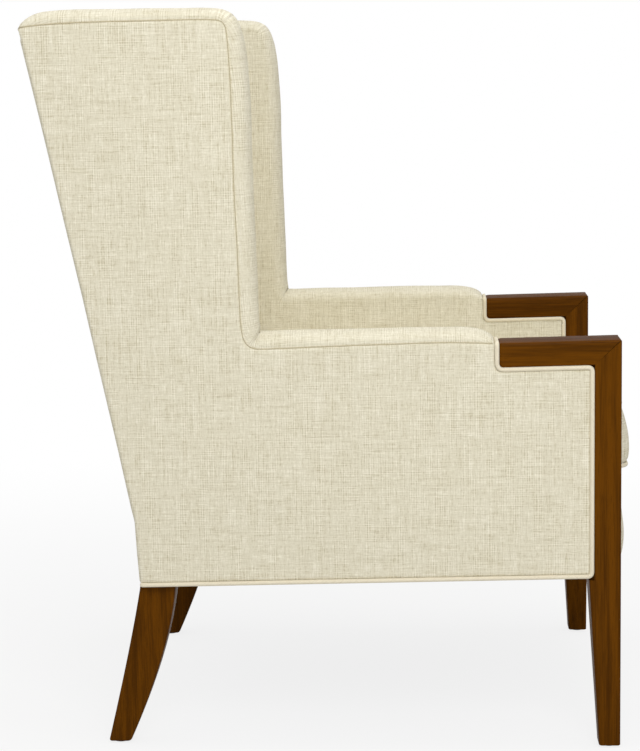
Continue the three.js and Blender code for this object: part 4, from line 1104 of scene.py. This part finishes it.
# Show wood.
def rounded_section(low_a, high_a, low_b, high_b, radius, steps=5):
    """Rounded rectangles in two directions, one for each entry of the arrays, as (count, corner points, 2).

    The radius is one number for each entry, or four: for high a and b, low a, low a and b, and low b.
    """
    angle = np.linspace(0, np.pi / 2, steps)
    turn = np.concatenate([angle + k * np.pi / 2 for k in range(4)])
    corner_a = np.repeat([1, 0, 0, 1], steps)
    corner_b = np.repeat([1, 1, 0, 0], steps)
    low_a, high_a, low_b, high_b = (np.asarray(v, float)[:, None] for v in (low_a, high_a, low_b, high_b))
    radius = np.asarray(radius, float).reshape(len(low_a), -1)
    radius = np.repeat(np.broadcast_to(radius, (len(low_a), 4)), steps, axis=1)
    centre_a = np.where(corner_a, high_a - radius, low_a + radius)
    centre_b = np.where(corner_b, high_b - radius, low_b + radius)
    return np.stack([centre_a + radius * np.cos(turn), centre_b + radius * np.sin(turn)], -1)


def stacked(section, places, axis):
    """Sections as rings in space, each at its own place along the given axis."""
    return np.insert(section, axis, places[:, None], axis=-1)


def wood_corner(depth):
    """Height of the rounded front top corner of post and arm at a depth, above which no wood stands."""
    inside = np.clip(WOOD_CORNER - np.asarray(depth), 0, WOOD_CORNER)
    return ARM_HEIGHT - WOOD_CORNER + np.sqrt(WOOD_CORNER**2 - inside**2)


def mitre_fall():
    """How far the mitre between post and arm falls for each metre of depth."""
    return (ARM_HEIGHT - arm_under(POST_DEPTH)) / POST_DEPTH


class CHAIR_OT_show_wood(ChairOperator):
    """Posts that run down as the front legs, arms mitred to them, and sabre rear legs"""

    bl_idname = "chair.show_wood"
    bl_label = "Show wood"

    def make(self, sizes, colours, studio):
        ease = sizes.wood_ease
        looks = dict(light=colours.walnut_light, dark=colours.walnut_dark,
                     polish=0.42, figure=0.7, shine=0.03)
        upright = wood_material("walnut upright", **looks)
        level = wood_material("walnut level", turn=(math.pi / 2, 0.0, 0.0), **looks)
        for side, label in SIDES:
            self.post(ease, upright, side, label)
            self.arm(ease, level, side, label)
            self.rear_leg(ease, upright, side, label)

    def post(self, ease, material, side, label):
        """Rounded rectangles up the post. Under its shoulder it tapers to the floor. Its top is the mitre."""
        shoulder, foot = SHOULDER, POST_LOW.z
        foot_depth, depth_gain, foot_width, width_gain, break_edge = 0.031, 0.015, 0.040, 0.030, 0.0012
        z = np.concatenate([[foot, foot + 0.0004, foot + break_edge], np.linspace(foot + 0.003, shoulder, 20),
                            [shoulder + 0.0001], np.linspace(shoulder + 0.004, 0.552, 14)])
        up = ramp(z - foot, shoulder - foot)
        chamfer = np.interp(z, [foot, foot + break_edge], [break_edge, 0])
        depth = np.where(z > shoulder, POST_DEPTH, foot_depth + depth_gain * up)
        section = rounded_section(
            OUTER_X - foot_width - width_gain * up + chamfer, OUTER_X - chamfer + 0 * z,
            0 * z + chamfer, depth - chamfer,
            np.where(z[:, None] > shoulder, [[SMALL_EASE, SMALL_EASE, ease, ease]], ease), 6)
        rings = stacked(section, z, 2)
        mitre = rings[-1:].copy()
        mitre[..., 2] = np.minimum(ARM_HEIGHT - mitre_fall() * mitre[..., 1], wood_corner(mitre[..., 1]))
        surface = Surface().solid(np.concatenate([rings, mitre]))
        tongue_rear, tongue_inset = 0.046, 0.008
        tongue_z = np.array([shoulder + 0.0003, arm_under(tongue_rear) - 0.0006])
        tongue = rounded_section([INNER_X + tongue_inset] * 2, [OUTER_X - tongue_inset] * 2,
                                 [POST_DEPTH - 0.0003] * 2, [tongue_rear] * 2, [0.0008] * 2, 3)
        surface.solid(stacked(tongue, tongue_z, 2))
        piece = surface.build(f"walnut_post_{label}", material, side, merge=1e-6)
        dress(soften(piece), "chair", "show_wood", f"front_post_{label}")

    def arm(self, ease, material, side, label):
        """Rounded rectangles along the arm, from the mitre's plane to its eased rear end."""
        turn = 0.0055
        angle = np.linspace(0, np.pi / 2, 7)[1:]
        straight = np.linspace(ARM_START, ARM_END - turn, 14)
        depth = np.concatenate([straight, ARM_END - turn + turn * np.sin(angle)])
        closing = np.concatenate([0 * straight, 1 - np.cos(angle)])
        top = ARM_HEIGHT - ARM_FALL * depth - SMALL_EASE * closing
        under = arm_under(depth) + turn * closing
        eases = np.tile([1.3 * ease, 1.3 * ease, SMALL_EASE, SMALL_EASE], (len(depth), 1))
        section = rounded_section(
            INNER_X + SMALL_EASE * closing, OUTER_X - SMALL_EASE * closing, under, top, eases, 6)
        rings = stacked(section, depth, 1)
        first = rings[0].copy()
        first[:, 1] = (ARM_HEIGHT - first[:, 2]) / mitre_fall() + 0.0002
        first[:, 2] += np.where(first[:, 1] < 0.02, ARM_FALL * (ARM_START - first[:, 1]), 0)
        share = np.concatenate([np.linspace(0, 0.08, 12), [0.15, 0.3, 0.6, 1.0]])[:, None, None]
        start = first + (rings[0] - first) * share
        start[..., 2] = np.minimum(start[..., 2], wood_corner(start[..., 1]))
        piece = Surface().solid(np.concatenate([start, rings[1:]])).build(
            f"walnut_arm_{label}", material, side, merge=1e-6)
        dress(soften(piece), "chair", "show_wood", f"show_arm_{label}")

    def rear_leg(self, ease, material, side, label):
        """Rounded rectangles down the rear leg, whose front and rear each follow one parabola."""
        low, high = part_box("rear_leg_left")
        foot, top = low.z, high.z
        t = np.concatenate([[0, 0.001, 0.0025, 0.005, 0.009], np.linspace(0.014, 1, 30)])

        def curve(start, middle, end):
            return (1 - t) ** 2 * start + 2 * t * (1 - t) * middle + t**2 * end

        front, front_z = curve(0.722, 0.6574, LEG_FRONT), curve(foot, 0.605 * top, top)
        rear, rear_z = curve(0.7545, 0.7158, 0.701), curve(foot, 0.651 * top, top)
        z = (front_z + rear_z) / 2
        chamfer = 0.0030 * quarter(ramp(t, 0.014))
        outer = OUTER_X - LEG_INSET - 0.008 * (1 - t)
        thick = LEG_WIDTH - 0.006 * (1 - t)
        section = rounded_section(
            outer - thick + chamfer, outer - chamfer, np.interp(z, front_z, front) + chamfer,
            np.interp(z, rear_z, rear) - chamfer, np.full(len(t), ease), 6)
        piece = Surface().solid(stacked(section, z, 2)).build(
            f"walnut_rear_leg_{label}", material, side, merge=1e-6)
        dress(soften(piece), "chair", "show_wood", f"rear_leg_{label}")


def soften(piece):
    """Splits the shading only at sharp edges, so flat faces stay flat and eased edges stay smooth."""
    piece.data.set_sharp_from_angle(angle=math.radians(38))
    return piece


class CHAIR_OT_glides(ChairOperator):
    """Nylon glides under the four feet"""

    bl_idname = "chair.glides"
    bl_label = "Glides"

    def make(self, sizes, colours, studio):
        profile = np.array([(0.0, 0.0), (0.0036, 0.0), (0.0040, 0.0004), (0.0044, 0.0004), (0.0048, 0.0),
                            (0.0092, 0.0), (0.0102, 0.0003), (0.0108, 0.0010), (0.0110, 0.0018),
                            (0.0110, 0.0024), (0.0106, 0.0030), (0.0, 0.0030)])
        angle = 2 * np.pi * np.arange(40) / 40
        for node in ("front_glide_left", "front_glide_right", "rear_glide_left", "rear_glide_right"):
            low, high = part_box(node)
            x, y = (low.x + high.x) / 2, (low.y + high.y) / 2 - FRONT_Y
            rings = np.stack([x + profile[:, :1] * np.cos(angle), y + profile[:, :1] * np.sin(angle),
                              profile[:, 1:] + 0 * angle], -1)
            piece = Surface().add(rings, close_columns=True).build(
                f"nylon_{node}", stuff("nylon"), merge=1e-6)
            dress(soften(piece), "chair", "glide", node)


# The loose cushion.
CUSHION_HALF = 0.290
CUSHION_FRONT = -0.0135
CUSHION_BACK = 0.581
CUSHION_CORNER = 0.034
CUSHION_FOOT = 0.006
CUSHION_BOXING = 0.092
CUSHION_CROWN = 0.020
CUSHION_BULGE = 0.0068
CUSHION_POINTS = 240
CUSHION_GAP = 0.0005


def cushion_plan(inset, count=CUSHION_POINTS):
    """Rounded rectangle of (x, depth), evenly inset, whose long sides are drawn in at their middle."""
    half, front, back = CUSHION_HALF - inset, CUSHION_FRONT + inset, CUSHION_BACK - inset
    corner = max(CUSHION_CORNER - inset, 0.008)
    angle = np.linspace(0, np.pi / 2, 9)
    centres = [(half - corner, back - corner), (corner - half, back - corner),
               (corner - half, front + corner), (half - corner, front + corner)]
    ring = np.concatenate([np.column_stack([cx + corner * np.cos(angle + k * np.pi / 2),
                                            cy + corner * np.sin(angle + k * np.pi / 2)])
                           for k, (cx, cy) in enumerate(centres)])
    ring = np.concatenate([ring, ring[:1]])
    ring = sampled(ring, np.linspace(0, lengths_along(ring)[-1], count + 1)[:-1])
    along = np.clip((ring[:, 1] - front) / (back - front), 0, 1)
    pull = np.sign(ring[:, 0]) * np.minimum(0.004 * np.sin(np.pi * along), np.abs(ring[:, 0]))
    return np.column_stack([ring[:, 0] - pull, ring[:, 1]])


def cushion_ring(inset, lift, count=CUSHION_POINTS):
    """A plan ring lifted over the deck. Towards the front it leans back as it rises."""
    plan = cushion_plan(inset, count)
    forward = ramp(0.25 - plan[:, 1], 0.25)
    lean = forward * np.interp(lift, [0.0, 0.03, 0.06, 0.10], [-0.0036, -0.0018, 0.0, 0.0056])
    depth = plan[:, 1] + lean
    return np.column_stack([plan[:, 0], depth, seat_line(depth, -CUSHION_GAP - lift)])


def cushion_rings(skin):
    """Rings of the boxed cushion, from the middle of its foot over boxing and crown to that of its top."""
    rings = [cushion_ring(0.27, skin), cushion_ring(0.12, skin), cushion_ring(0.018 + skin, skin)]
    top = CUSHION_FOOT + CUSHION_BOXING
    for share in np.linspace(0, 1, 15):
        bulge = CUSHION_BULGE * math.sin(math.pi * share**0.62)
        rings.append(cushion_ring(skin - bulge, CUSHION_FOOT + skin + share * (CUSHION_BOXING - 2 * skin)))
    for share in (0.02, 0.06, 0.12, 0.2, 0.3, 0.42, 0.56, 0.72, 0.88):
        rings.append(cushion_ring(skin + share * 0.28, top - skin + CUSHION_CROWN * (1 - (1 - share) ** 3)))
    return np.stack(rings)


def fill_cushion(piece, travel):
    """Blows the cushion's cloth up between its seams. Each point moves outwards only, up to a cap."""
    scene = bpy.context.scene
    rest = read_points(piece.data)
    normals = np.zeros(rest.size)
    piece.data.vertices.foreach_get("normal", normals)
    normals = normals.reshape(-1, 3)
    seam = seam_distance(rest)
    held = piece.vertex_groups.new(name="held")
    for i in np.flatnonzero(seam < 0.006):
        held.add([int(i)], 1.0, "REPLACE")
    cloth = piece.modifiers.new("fill", "CLOTH")
    cloth.settings.vertex_group_mass = "held"
    cloth.settings.use_pressure = True
    cloth.settings.uniform_pressure_force = 4.0
    cloth.settings.effector_weights.gravity = 0.0
    cloth.settings.tension_stiffness = 22.0
    cloth.settings.compression_stiffness = 22.0
    cloth.settings.bending_stiffness = 0.6
    cloth.settings.quality = 6
    cloth.collision_settings.use_collision = False
    frames = 20
    scene.frame_start, scene.frame_end = 1, frames
    for number in range(1, frames + 1):
        scene.frame_set(number)
    apply_modifiers(piece)
    moved = ((read_points(piece.data) - rest) * normals).sum(axis=1)
    write_points(piece.data, rest + np.clip(moved, 0, travel)[:, None] * normals)
    scene.frame_set(1)


def read_points(mesh):
    """Vertex places as an array."""
    points = np.zeros(len(mesh.vertices) * 3)
    mesh.vertices.foreach_get("co", points)
    return points.reshape(-1, 3)


def write_points(mesh, points):
    """Sets the vertex places."""
    mesh.vertices.foreach_set("co", points.ravel())
    mesh.update()


def apply_modifiers(piece):
    """Replaces the piece's mesh by what its modifiers make of it."""
    graph = bpy.context.evaluated_depsgraph_get()
    made = bpy.data.meshes.new_from_object(piece.evaluated_get(graph), depsgraph=graph)
    piece.modifiers.clear()
    piece.data = made


def cushion_frame(points):
    """Height over the deck, distance outside the seam's plan, and length round the plan, for each point."""
    depth = points[:, 1] - FRONT_Y
    lift = points[:, 2] - seat_line(depth, -CUSHION_GAP)
    ring = cushion_plan(0.0)
    ring = np.concatenate([ring, ring[:1]])
    walked = lengths_along(ring)
    best = np.full(len(points), np.inf)
    place = np.zeros(len(points))
    for k in range(len(ring) - 1):
        span = ring[k + 1] - ring[k]
        ahead, aside = points[:, 0] - ring[k, 0], depth - ring[k, 1]
        t = np.clip((ahead * span[0] + aside * span[1]) / (span @ span), 0, 1)
        gap = np.hypot(ahead - t * span[0], aside - t * span[1])
        nearer = gap < best
        best = np.where(nearer, gap, best)
        place = np.where(nearer, walked[k] + t * (walked[k + 1] - walked[k]), place)
    inside = (np.abs(points[:, 0]) < CUSHION_HALF) & (depth > CUSHION_FRONT) & (depth < CUSHION_BACK)
    return lift, np.where(inside, -best, best), place


def seam_distance(points):
    """Distance from each point to the nearer of the two piped seams."""
    lift, out, _ = cushion_frame(points)
    top = CUSHION_FOOT + CUSHION_BOXING
    return np.minimum(np.hypot(lift - top, out), np.hypot(lift - CUSHION_FOOT, out))


class CHAIR_OT_cushion(ChairOperator):
    """Loose boxed seat cushion, filled as cloth, with its piping"""

    bl_idname = "chair.cushion"
    bl_label = "Seat cushion"

    def make(self, sizes, colours, studio):
        material = cover_cloth(colours)
        piece = Surface().solid(cushion_rings(0.001)).build("seat_cushion", material)
        remesh = piece.modifiers.new("voxels", "REMESH")
        remesh.mode = "VOXEL"
        remesh.voxel_size = 0.006
        apply_modifiers(piece)
        fill_cushion(piece, sizes.cushion_travel)
        subdivide = piece.modifiers.new("smooth", "SUBSURF")
        subdivide.levels = subdivide.render_levels = 1
        apply_modifiers(piece)
        self.settle(piece, sizes)
        self.lay_cloth(piece)
        piece.data.materials.clear()
        piece.data.materials.append(material)
        piece.data.polygons.foreach_set("use_smooth", [True] * len(piece.data.polygons))
        dress(piece, "seat_cushion", "cover_cloth", "seat_cushion_cover")
        self.pipe(sizes, colours)

    def settle(self, piece, sizes):
        """Tucks the cloth in at its seams, rests it on the deck and keeps it between its neighbours."""
        widest, tuck_depth, tuck_width, wave, zip_recess = 0.2962, 0.0020, 0.0044, 0.0016, 0.0034
        points = read_points(piece.data)
        gap = seam_distance(points)
        lift = cushion_frame(points)[0]
        middle = np.array([0.0, FRONT_Y + 0.28, DECK_HEIGHT + 0.05])
        inward = middle - points
        inward /= np.linalg.norm(inward, axis=1, keepdims=True)
        points += inward * (tuck_depth * bell(gap, tuck_width))[:, None]
        soft = wave * unevenness(points[:, 0], points[:, 1], 0.17)
        points[:, 2] += soft * ramp(lift - 0.105, 0.01)
        points[:, 0] = np.clip(points[:, 0], -widest, widest)
        points[:, 2] = np.maximum(points[:, 2], seat_line(points[:, 1] - FRONT_Y, -0.0006))
        zip_height = sum(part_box("seat_cushion_zip")[k].z for k in (0, 1)) / 2
        zone = (ramp(0.0125 - np.abs(points[:, 2] - zip_height), 0.004)
                * ramp(0.2335 - np.abs(points[:, 0]), 0.012))
        zone = zone * zone * (3 - 2 * zone)
        face = CUSHION_BACK + 0.0052 - zip_recess * zone
        points[:, 1] = np.minimum(points[:, 1], face + FRONT_Y)
        write_points(piece.data, points)

    def lay_cloth(self, piece):
        """Cloth coordinates: the plan on top and foot, and the length round and the height on the boxing."""
        mesh = piece.data
        for layer in list(mesh.uv_layers):
            mesh.uv_layers.remove(layer)
        layer = mesh.uv_layers.new(name="cloth")
        points = read_points(mesh)
        place = cushion_frame(points)[2]
        corner = np.zeros(len(mesh.loops), np.int32)
        mesh.loops.foreach_get("vertex_index", corner)
        totals = np.zeros(len(mesh.polygons), np.int32)
        mesh.polygons.foreach_get("loop_total", totals)
        centres = np.zeros(len(mesh.polygons) * 3)
        mesh.polygons.foreach_get("center", centres)
        face_lift = cushion_frame(centres.reshape(-1, 3))[0]
        top = CUSHION_FOOT + CUSHION_BOXING
        boxing = np.repeat((face_lift > CUSHION_FOOT) & (face_lift < top), totals)
        plan = points[corner][:, :2]
        round_it = np.column_stack([place[corner], points[corner][:, 2]])
        layer.uv.foreach_set("vector", np.where(boxing[:, None], round_it, plan).astype(np.float32).ravel())

    def pipe(self, sizes, colours):
        """Covered cord along both seams."""
        radius = sizes.cushion_piping_radius
        reach = INNER_X - radius - 0.0028
        for name, node, lift, inset in (
                ("cushion_piping_top", "seat_cushion_top_piping", CUSHION_FOOT + CUSHION_BOXING, 0.0012),
                ("cushion_piping_bottom", "seat_cushion_bottom_piping", CUSHION_FOOT, 0.0006)):
            line = cushion_ring(inset, lift, 360)
            line[:, 0] = np.clip(line[:, 0], -reach, reach)
            rings, cloth = tube(line, radius, 12, closed=True)
            piece = Surface().add(rings, cloth, close_rows=True, close_columns=True).build(
                name, piping_cloth(colours))
            dress(piece, "seat_cushion", "piping", node)


class CHAIR_OT_zip(ChairOperator):
    """Zip in the rear of the cushion, with its teeth and its slider"""

    bl_idname = "chair.zip"
    bl_label = "Zip"

    def make(self, sizes, colours, studio):
        low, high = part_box("seat_cushion_zip")
        middle = (low.z + high.z) / 2
        face = high.y - FRONT_Y
        x = np.linspace(low.x, high.x, 90)
        across = np.array([-1, -0.97, -0.5, 0, 0.5, 0.97, 1])
        half_tape = 0.0055
        tape_depth = face - 0.0012 + 0.0002 * (1 - np.abs(across) ** 4)
        xs, a = np.meshgrid(x, across, indexing="ij")
        tape = np.stack([xs, tape_depth[None, :] + 0 * xs, middle + half_tape * a], -1)
        piece = Surface().add(tape, tape[..., [0, 2]]).build(
            "zip_tape", stuff("zip tape"), outward_from=(0.0, 0.3, 0.45))
        thicken(piece, 0.0008)
        dress(piece, "seat_cushion", "cover_cloth", "seat_cushion_zip")
        pitch, end_room, stagger, half_length, half_height = 0.0026, 0.002, 0.0006, 0.00085, 0.0021
        count = int((high.x - low.x - 2 * end_room) / pitch)
        places = low.x + end_room + pitch * np.arange(count)
        shift = np.where(np.arange(count) % 2, stagger, -stagger)
        turn = np.linspace(0, 2 * np.pi, 9)[:-1]
        tooth = np.stack([half_length * np.cos(turn), 0 * turn, half_height * np.sin(turn)], -1)
        near, far = face - 0.0010, face - 0.0002
        teeth = Surface()
        for place, offset in zip(places, shift):
            rings = np.stack([tooth, tooth, 0.7 * tooth])
            rings[:, :, 0] += place
            rings[:, :, 1] = np.array([near, (near + far) / 2, far])[:, None]
            rings[:, :, 2] += middle + offset
            teeth.solid(rings)
        piece = teeth.build("zip_teeth", stuff("nickel"), merge=1e-7)
        dress(soften(piece), "seat_cushion", "zip_metal")
        self.slider()

    def slider(self):
        """Shield-shaped slider body with a bridge, and a flat pull with a slot, hung from the bridge."""
        low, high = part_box("seat_cushion_zip_slider")
        end, face = high.x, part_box("seat_cushion_zip")[1].y - FRONT_Y + 0.0003
        middle = (low.z + high.z) / 2
        length, half = 0.014, 0.0045
        u = np.linspace(0, 1, 24)
        width = half * (0.62 + 0.38 * np.sin(np.pi * np.clip(u * 1.1, 0, 1)) ** 0.7)
        x = end - length * (1 - u)
        section = rounded_section(middle - width, middle + width, np.full(24, face),
                                  np.full(24, face + 0.0013), np.full(24, 0.0004), 3)
        body = np.stack([x[:, None] + 0 * section[..., 0], section[..., 1], section[..., 0]], -1)
        surface = Surface().solid(body)
        t = np.linspace(0, np.pi, 12)
        bridge = np.column_stack([end - 0.0065 - 0.0042 * np.cos(t),
                                  face + 0.0006 + 0.0010 * np.sin(t) ** 0.6, np.full(12, middle)])
        surface.solid(*tube(bridge, 0.0005, 8))
        start, stop = low.x, end - 0.0045
        angle = 2 * np.pi * np.arange(48) / 48
        centre, reach = (start + stop) / 2, (stop - start) / 2
        level, upright = np.cos(angle), np.sin(angle)
        outer = np.stack([centre + reach * np.sign(level) * np.abs(level) ** 0.35,
                          middle + 0.0024 * np.sign(upright) * np.abs(upright) ** 0.6], -1)
        inner = np.stack([stop - 0.0052 + 0.0044 * np.sign(level) * np.abs(level) ** 0.5,
                          middle + 0.0012 * upright], -1)
        near, far = face + 0.00135, face + 0.00195
        loop = [(outer, near), (outer, far), (inner, far), (inner, near)]
        pull = np.stack([np.insert(ring, 1, depth, axis=1) for ring, depth in loop])
        surface.add(pull, close_rows=True, close_columns=True)
        piece = surface.build("zip_slider_pull", stuff("nickel"), merge=1e-7)
        dress(soften(piece), "zip_slider", "zip_metal", "seat_cushion_zip_slider")


class CHAIR_OT_dust_cover(ChairOperator):
    """Dark cloth under the seat, notched round the posts and legs"""

    bl_idname = "chair.dust_cover"
    bl_label = "Dust cover"

    def make(self, sizes, colours, studio):
        low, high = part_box("dust_cover")
        half, y0, y1 = high.x, low.y - FRONT_Y, high.y - FRONT_Y
        room = 0.0012
        post_x, post_y = INNER_X - room / 2, 0.0466
        leg_x, leg_y = OUTER_X - LEG_INSET - LEG_WIDTH - room, LEG_FRONT - room
        lines_x = np.unique(np.concatenate([np.linspace(-half, half, 71), [-post_x, post_x, -leg_x, leg_x]]))
        lines_y = np.unique(np.concatenate([np.linspace(y0, y1, 71), [post_y, leg_y]]))
        x, y = np.meshgrid(lines_x, lines_y)
        edge = np.minimum(half - np.abs(x), np.minimum(y - y0, y1 - y))
        drop, sag_depth, crease_depth = 0.1343, 0.0030, 0.0006
        sag = sag_depth * ramp(edge, 0.09) ** 1.5
        crease = crease_depth * unevenness(x, y, 0.09) * ramp(edge, 0.03)
        points = np.stack([x, y, seat_line(y, drop) - sag - crease], -1)
        quads = grid_quads(*x.shape)
        centre = points.reshape(-1, 3)[quads].mean(axis=1)
        notched = (((np.abs(centre[:, 0]) > post_x) & (centre[:, 1] < post_y))
                   | ((np.abs(centre[:, 0]) > leg_x) & (centre[:, 1] > leg_y)))
        surface = Surface().add(points, points[..., :2])
        surface.faces = quads[~notched].tolist()
        material = mottled_material("dust cloth", colours.dust_cloth, colours.dust_shade,
                                    (900.0, 900.0, 900.0), 0.9, relief=0.4)
        piece = surface.build("dust_cloth", material, outward_from=(0.0, 0.35, 0.9))
        work = bmesh.new()
        work.from_mesh(piece.data)
        bmesh.ops.delete(work, geom=[v for v in work.verts if not v.link_faces], context="VERTS")
        work.to_mesh(piece.data)
        work.free()
        thicken(piece, 0.0008)
        dress(piece, "chair", "lining_cloth", "dust_cover")


class CHAIR_OT_hidden_frame(ChairOperator):
    """Finishes of the frame, springs, webbing and foam inside the covers"""

    bl_idname = "chair.hidden_frame"
    bl_label = "Hidden frame"

    def make(self, sizes, colours, studio):
        looks = dict(light=colours.lumber_light, dark=colours.lumber_dark, polish=0.7)
        upright = wood_material("lumber upright", **looks)
        level = wood_material("lumber level", turn=(math.pi / 2, 0.0, 0.0), **looks)
        crossing = wood_material("lumber crossing", turn=(0.0, math.pi / 2, 0.0), **looks)
        finishes = {
            "back_post": upright, "wing_post": upright, "front_corner": upright, "back_corner": upright,
            "side_rail": level, "wing_top_rail": level, "arm_rail": level, "arm_tack_rail": level,
            "rear_leg_dowel": upright, "front_rail": crossing, "back_rail": crossing,
            "back_top_rail": crossing, "back_tack_rail": crossing, "seat_spring": stuff("spring steel"),
            "back_webbing": stuff("webbing"), "seat_cushion_core": stuff("foam")}
        for name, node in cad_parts.items():
            if node.hide_render:
                continue
            finish = next((made for start, made in finishes.items() if name.startswith(start)), None)
            if finish is None:
                raise RuntimeError(f"{name} is shown and has no finish")
            node.data.materials.clear()
            node.data.materials.append(finish)


class CHAIR_OT_studio(ChairOperator):
    """Pale floor, soft lamps and the camera"""

    bl_idname = "chair.studio"
    bl_label = "Studio"

    def make(self, sizes, colours, studio):
        self.camera(studio)
        self.floor(studio)
        self.light(studio)
        bpy.context.scene.view_settings.view_transform = "Standard"

    def camera(self, studio):
        """Camera looking along yaw and pitch, rolled about its own axis."""
        yaw, pitch, roll = studio.camera_turn
        ahead = Vector((math.cos(yaw) * math.cos(pitch), -math.sin(yaw) * math.cos(pitch), math.sin(pitch)))
        right = Vector((-math.sin(yaw), -math.cos(yaw), 0.0))
        up = right.cross(ahead)
        rolled_right = math.cos(roll) * right + math.sin(roll) * up
        rolled_up = math.cos(roll) * up - math.sin(roll) * right
        data = bpy.data.cameras.new("photo camera")
        data.lens, data.sensor_width, data.sensor_fit = studio.camera_lens, 36.0, "AUTO"
        data.clip_start, data.clip_end = 0.05, 60.0
        camera = bpy.data.objects.new("photo_camera", data)
        turn = Matrix((rolled_right, rolled_up, -ahead)).transposed()
        camera.matrix_world = Matrix.Translation(studio.camera_place) @ turn.to_4x4()
        bpy.context.scene.collection.objects.link(camera)
        bpy.context.scene.camera = camera

    def floor(self, studio):
        """White floor that shows the chair's soft shadow near it and is plain white further off."""
        material = bpy.data.materials.new("studio floor")
        material.use_nodes = True
        tree = material.node_tree
        tree.nodes.clear()
        place = add_node(tree, "ShaderNodeTexCoord").outputs["Object"]
        tone = band(tree, stretched_noise(tree, place, (2.0, 2.0, 2.0), 2.0), 0.3, 0.7, 0.70, 0.72)
        paper = add_node(tree, "ShaderNodeBsdfDiffuse", {"Color": tone}).outputs[0]
        white = add_node(tree, "ShaderNodeEmission", {"Color": (1, 1, 1, 1), "Strength": 1.0}).outputs[0]
        seen = add_node(tree, "ShaderNodeLightPath").outputs
        direct = math_of(tree, "MAXIMUM", seen["Is Camera Ray"], seen["Is Glossy Ray"])
        direct = math_of(tree, "MAXIMUM", direct, seen["Is Transmission Ray"])
        across = add_node(tree, "ShaderNodeVectorMath", {0: place}, operation="LENGTH").outputs["Value"]
        shown = times(tree, band(tree, across, 2.4, 0.5), studio.floor_share)
        share = times(tree, direct, math_of(tree, "SUBTRACT", 1.0, shown))
        blend = add_node(tree, "ShaderNodeMixShader", {0: share, 1: paper, 2: white}).outputs[0]
        tree.links.new(blend, add_node(tree, "ShaderNodeOutputMaterial").inputs[0])
        mesh = bpy.data.meshes.new("studio_floor")
        mesh.from_pydata([(-30, -30, 0), (30, -30, 0), (30, 30, 0), (-30, 30, 0)], [], [(0, 1, 2, 3)])
        link_piece("studio_floor", mesh, material)

    def light(self, studio):
        """Even white sky, a large lamp above the camera and a weaker one over the chair."""
        world = bpy.data.worlds.new("studio sky")
        bpy.context.scene.world = world
        world.use_nodes = True
        tree = world.node_tree
        tree.nodes.clear()
        seen = add_node(tree, "ShaderNodeLightPath").outputs
        direct = math_of(tree, "MAXIMUM", seen["Is Camera Ray"], seen["Is Transmission Ray"])
        strength = add_node(
            tree, "ShaderNodeMix", {0: direct, 2: studio.sky, 3: 1.0}, data_type="FLOAT").outputs[0]
        sky = add_node(tree, "ShaderNodeBackground", {"Color": (1, 1, 1, 1), "Strength": strength}).outputs[0]
        tree.links.new(sky, add_node(tree, "ShaderNodeOutputWorld").inputs[0])
        for name, place, size, power in (
                ("key_lamp", (-2.6, -0.45, 2.2), 1.6, studio.key),
                ("top_lamp", (0.0, 0.0, 4.0), 1.8, studio.top)):
            data = bpy.data.lights.new(name, "AREA")
            data.shape, data.size, data.energy = "DISK", size, power
            lamp = bpy.data.objects.new(name, data)
            aim = Vector((0.0, 0.0, 0.55)) - Vector(place)
            lamp.matrix_world = Matrix.Translation(place) @ aim.to_track_quat("-Z", "Y").to_matrix().to_4x4()
            bpy.context.scene.collection.objects.link(lamp)


class CHAIR_PT_panel(bpy.types.Panel):
    """Lists the chair's sizes, colours and pieces"""

    bl_label = "Fireside Chair"
    bl_idname = "CHAIR_PT_panel"
    bl_space_type = "VIEW_3D"
    bl_region_type = "UI"
    bl_category = "Chair"

    def draw(self, context):
        for group in (context.scene.chair_sizes, context.scene.chair_colours, context.scene.chair_studio):
            box = self.layout.box()
            for name in group.bl_rna.properties.keys():
                if name not in ("rna_type", "name"):
                    box.prop(group, name)
        for operator in OPERATORS:
            self.layout.operator(operator.bl_idname)


GROUPS = {"chair_sizes": ChairSizes, "chair_colours": ChairColours, "chair_studio": StudioSettings}
OPERATORS = (
    CHAIR_OT_studio, CHAIR_OT_show_wood, CHAIR_OT_glides, CHAIR_OT_padded_sides, CHAIR_OT_outside_panels,
    CHAIR_OT_seams, CHAIR_OT_back_covers, CHAIR_OT_seat_front, CHAIR_OT_piping, CHAIR_OT_cushion,
    CHAIR_OT_zip, CHAIR_OT_dust_cover, CHAIR_OT_hidden_frame)


def register():
    """Registers the settings, the operators and the panel."""
    for name, group in GROUPS.items():
        bpy.utils.register_class(group)
        setattr(bpy.types.Scene, name, PointerProperty(type=group))
    for made in (*OPERATORS, CHAIR_PT_panel):
        bpy.utils.register_class(made)


def unregister():
    """Takes them away again."""
    for made in reversed((*OPERATORS, CHAIR_PT_panel)):
        bpy.utils.unregister_class(made)
    for name, group in reversed(GROUPS.items()):
        delattr(bpy.types.Scene, name)
        bpy.utils.unregister_class(group)


def main():
    """Builds the chair and its studio."""
    register()
    for operator in OPERATORS:
        group, name = operator.bl_idname.split(".")
        getattr(getattr(bpy.ops, group), name)()


if __name__ == "__main__":
    main()
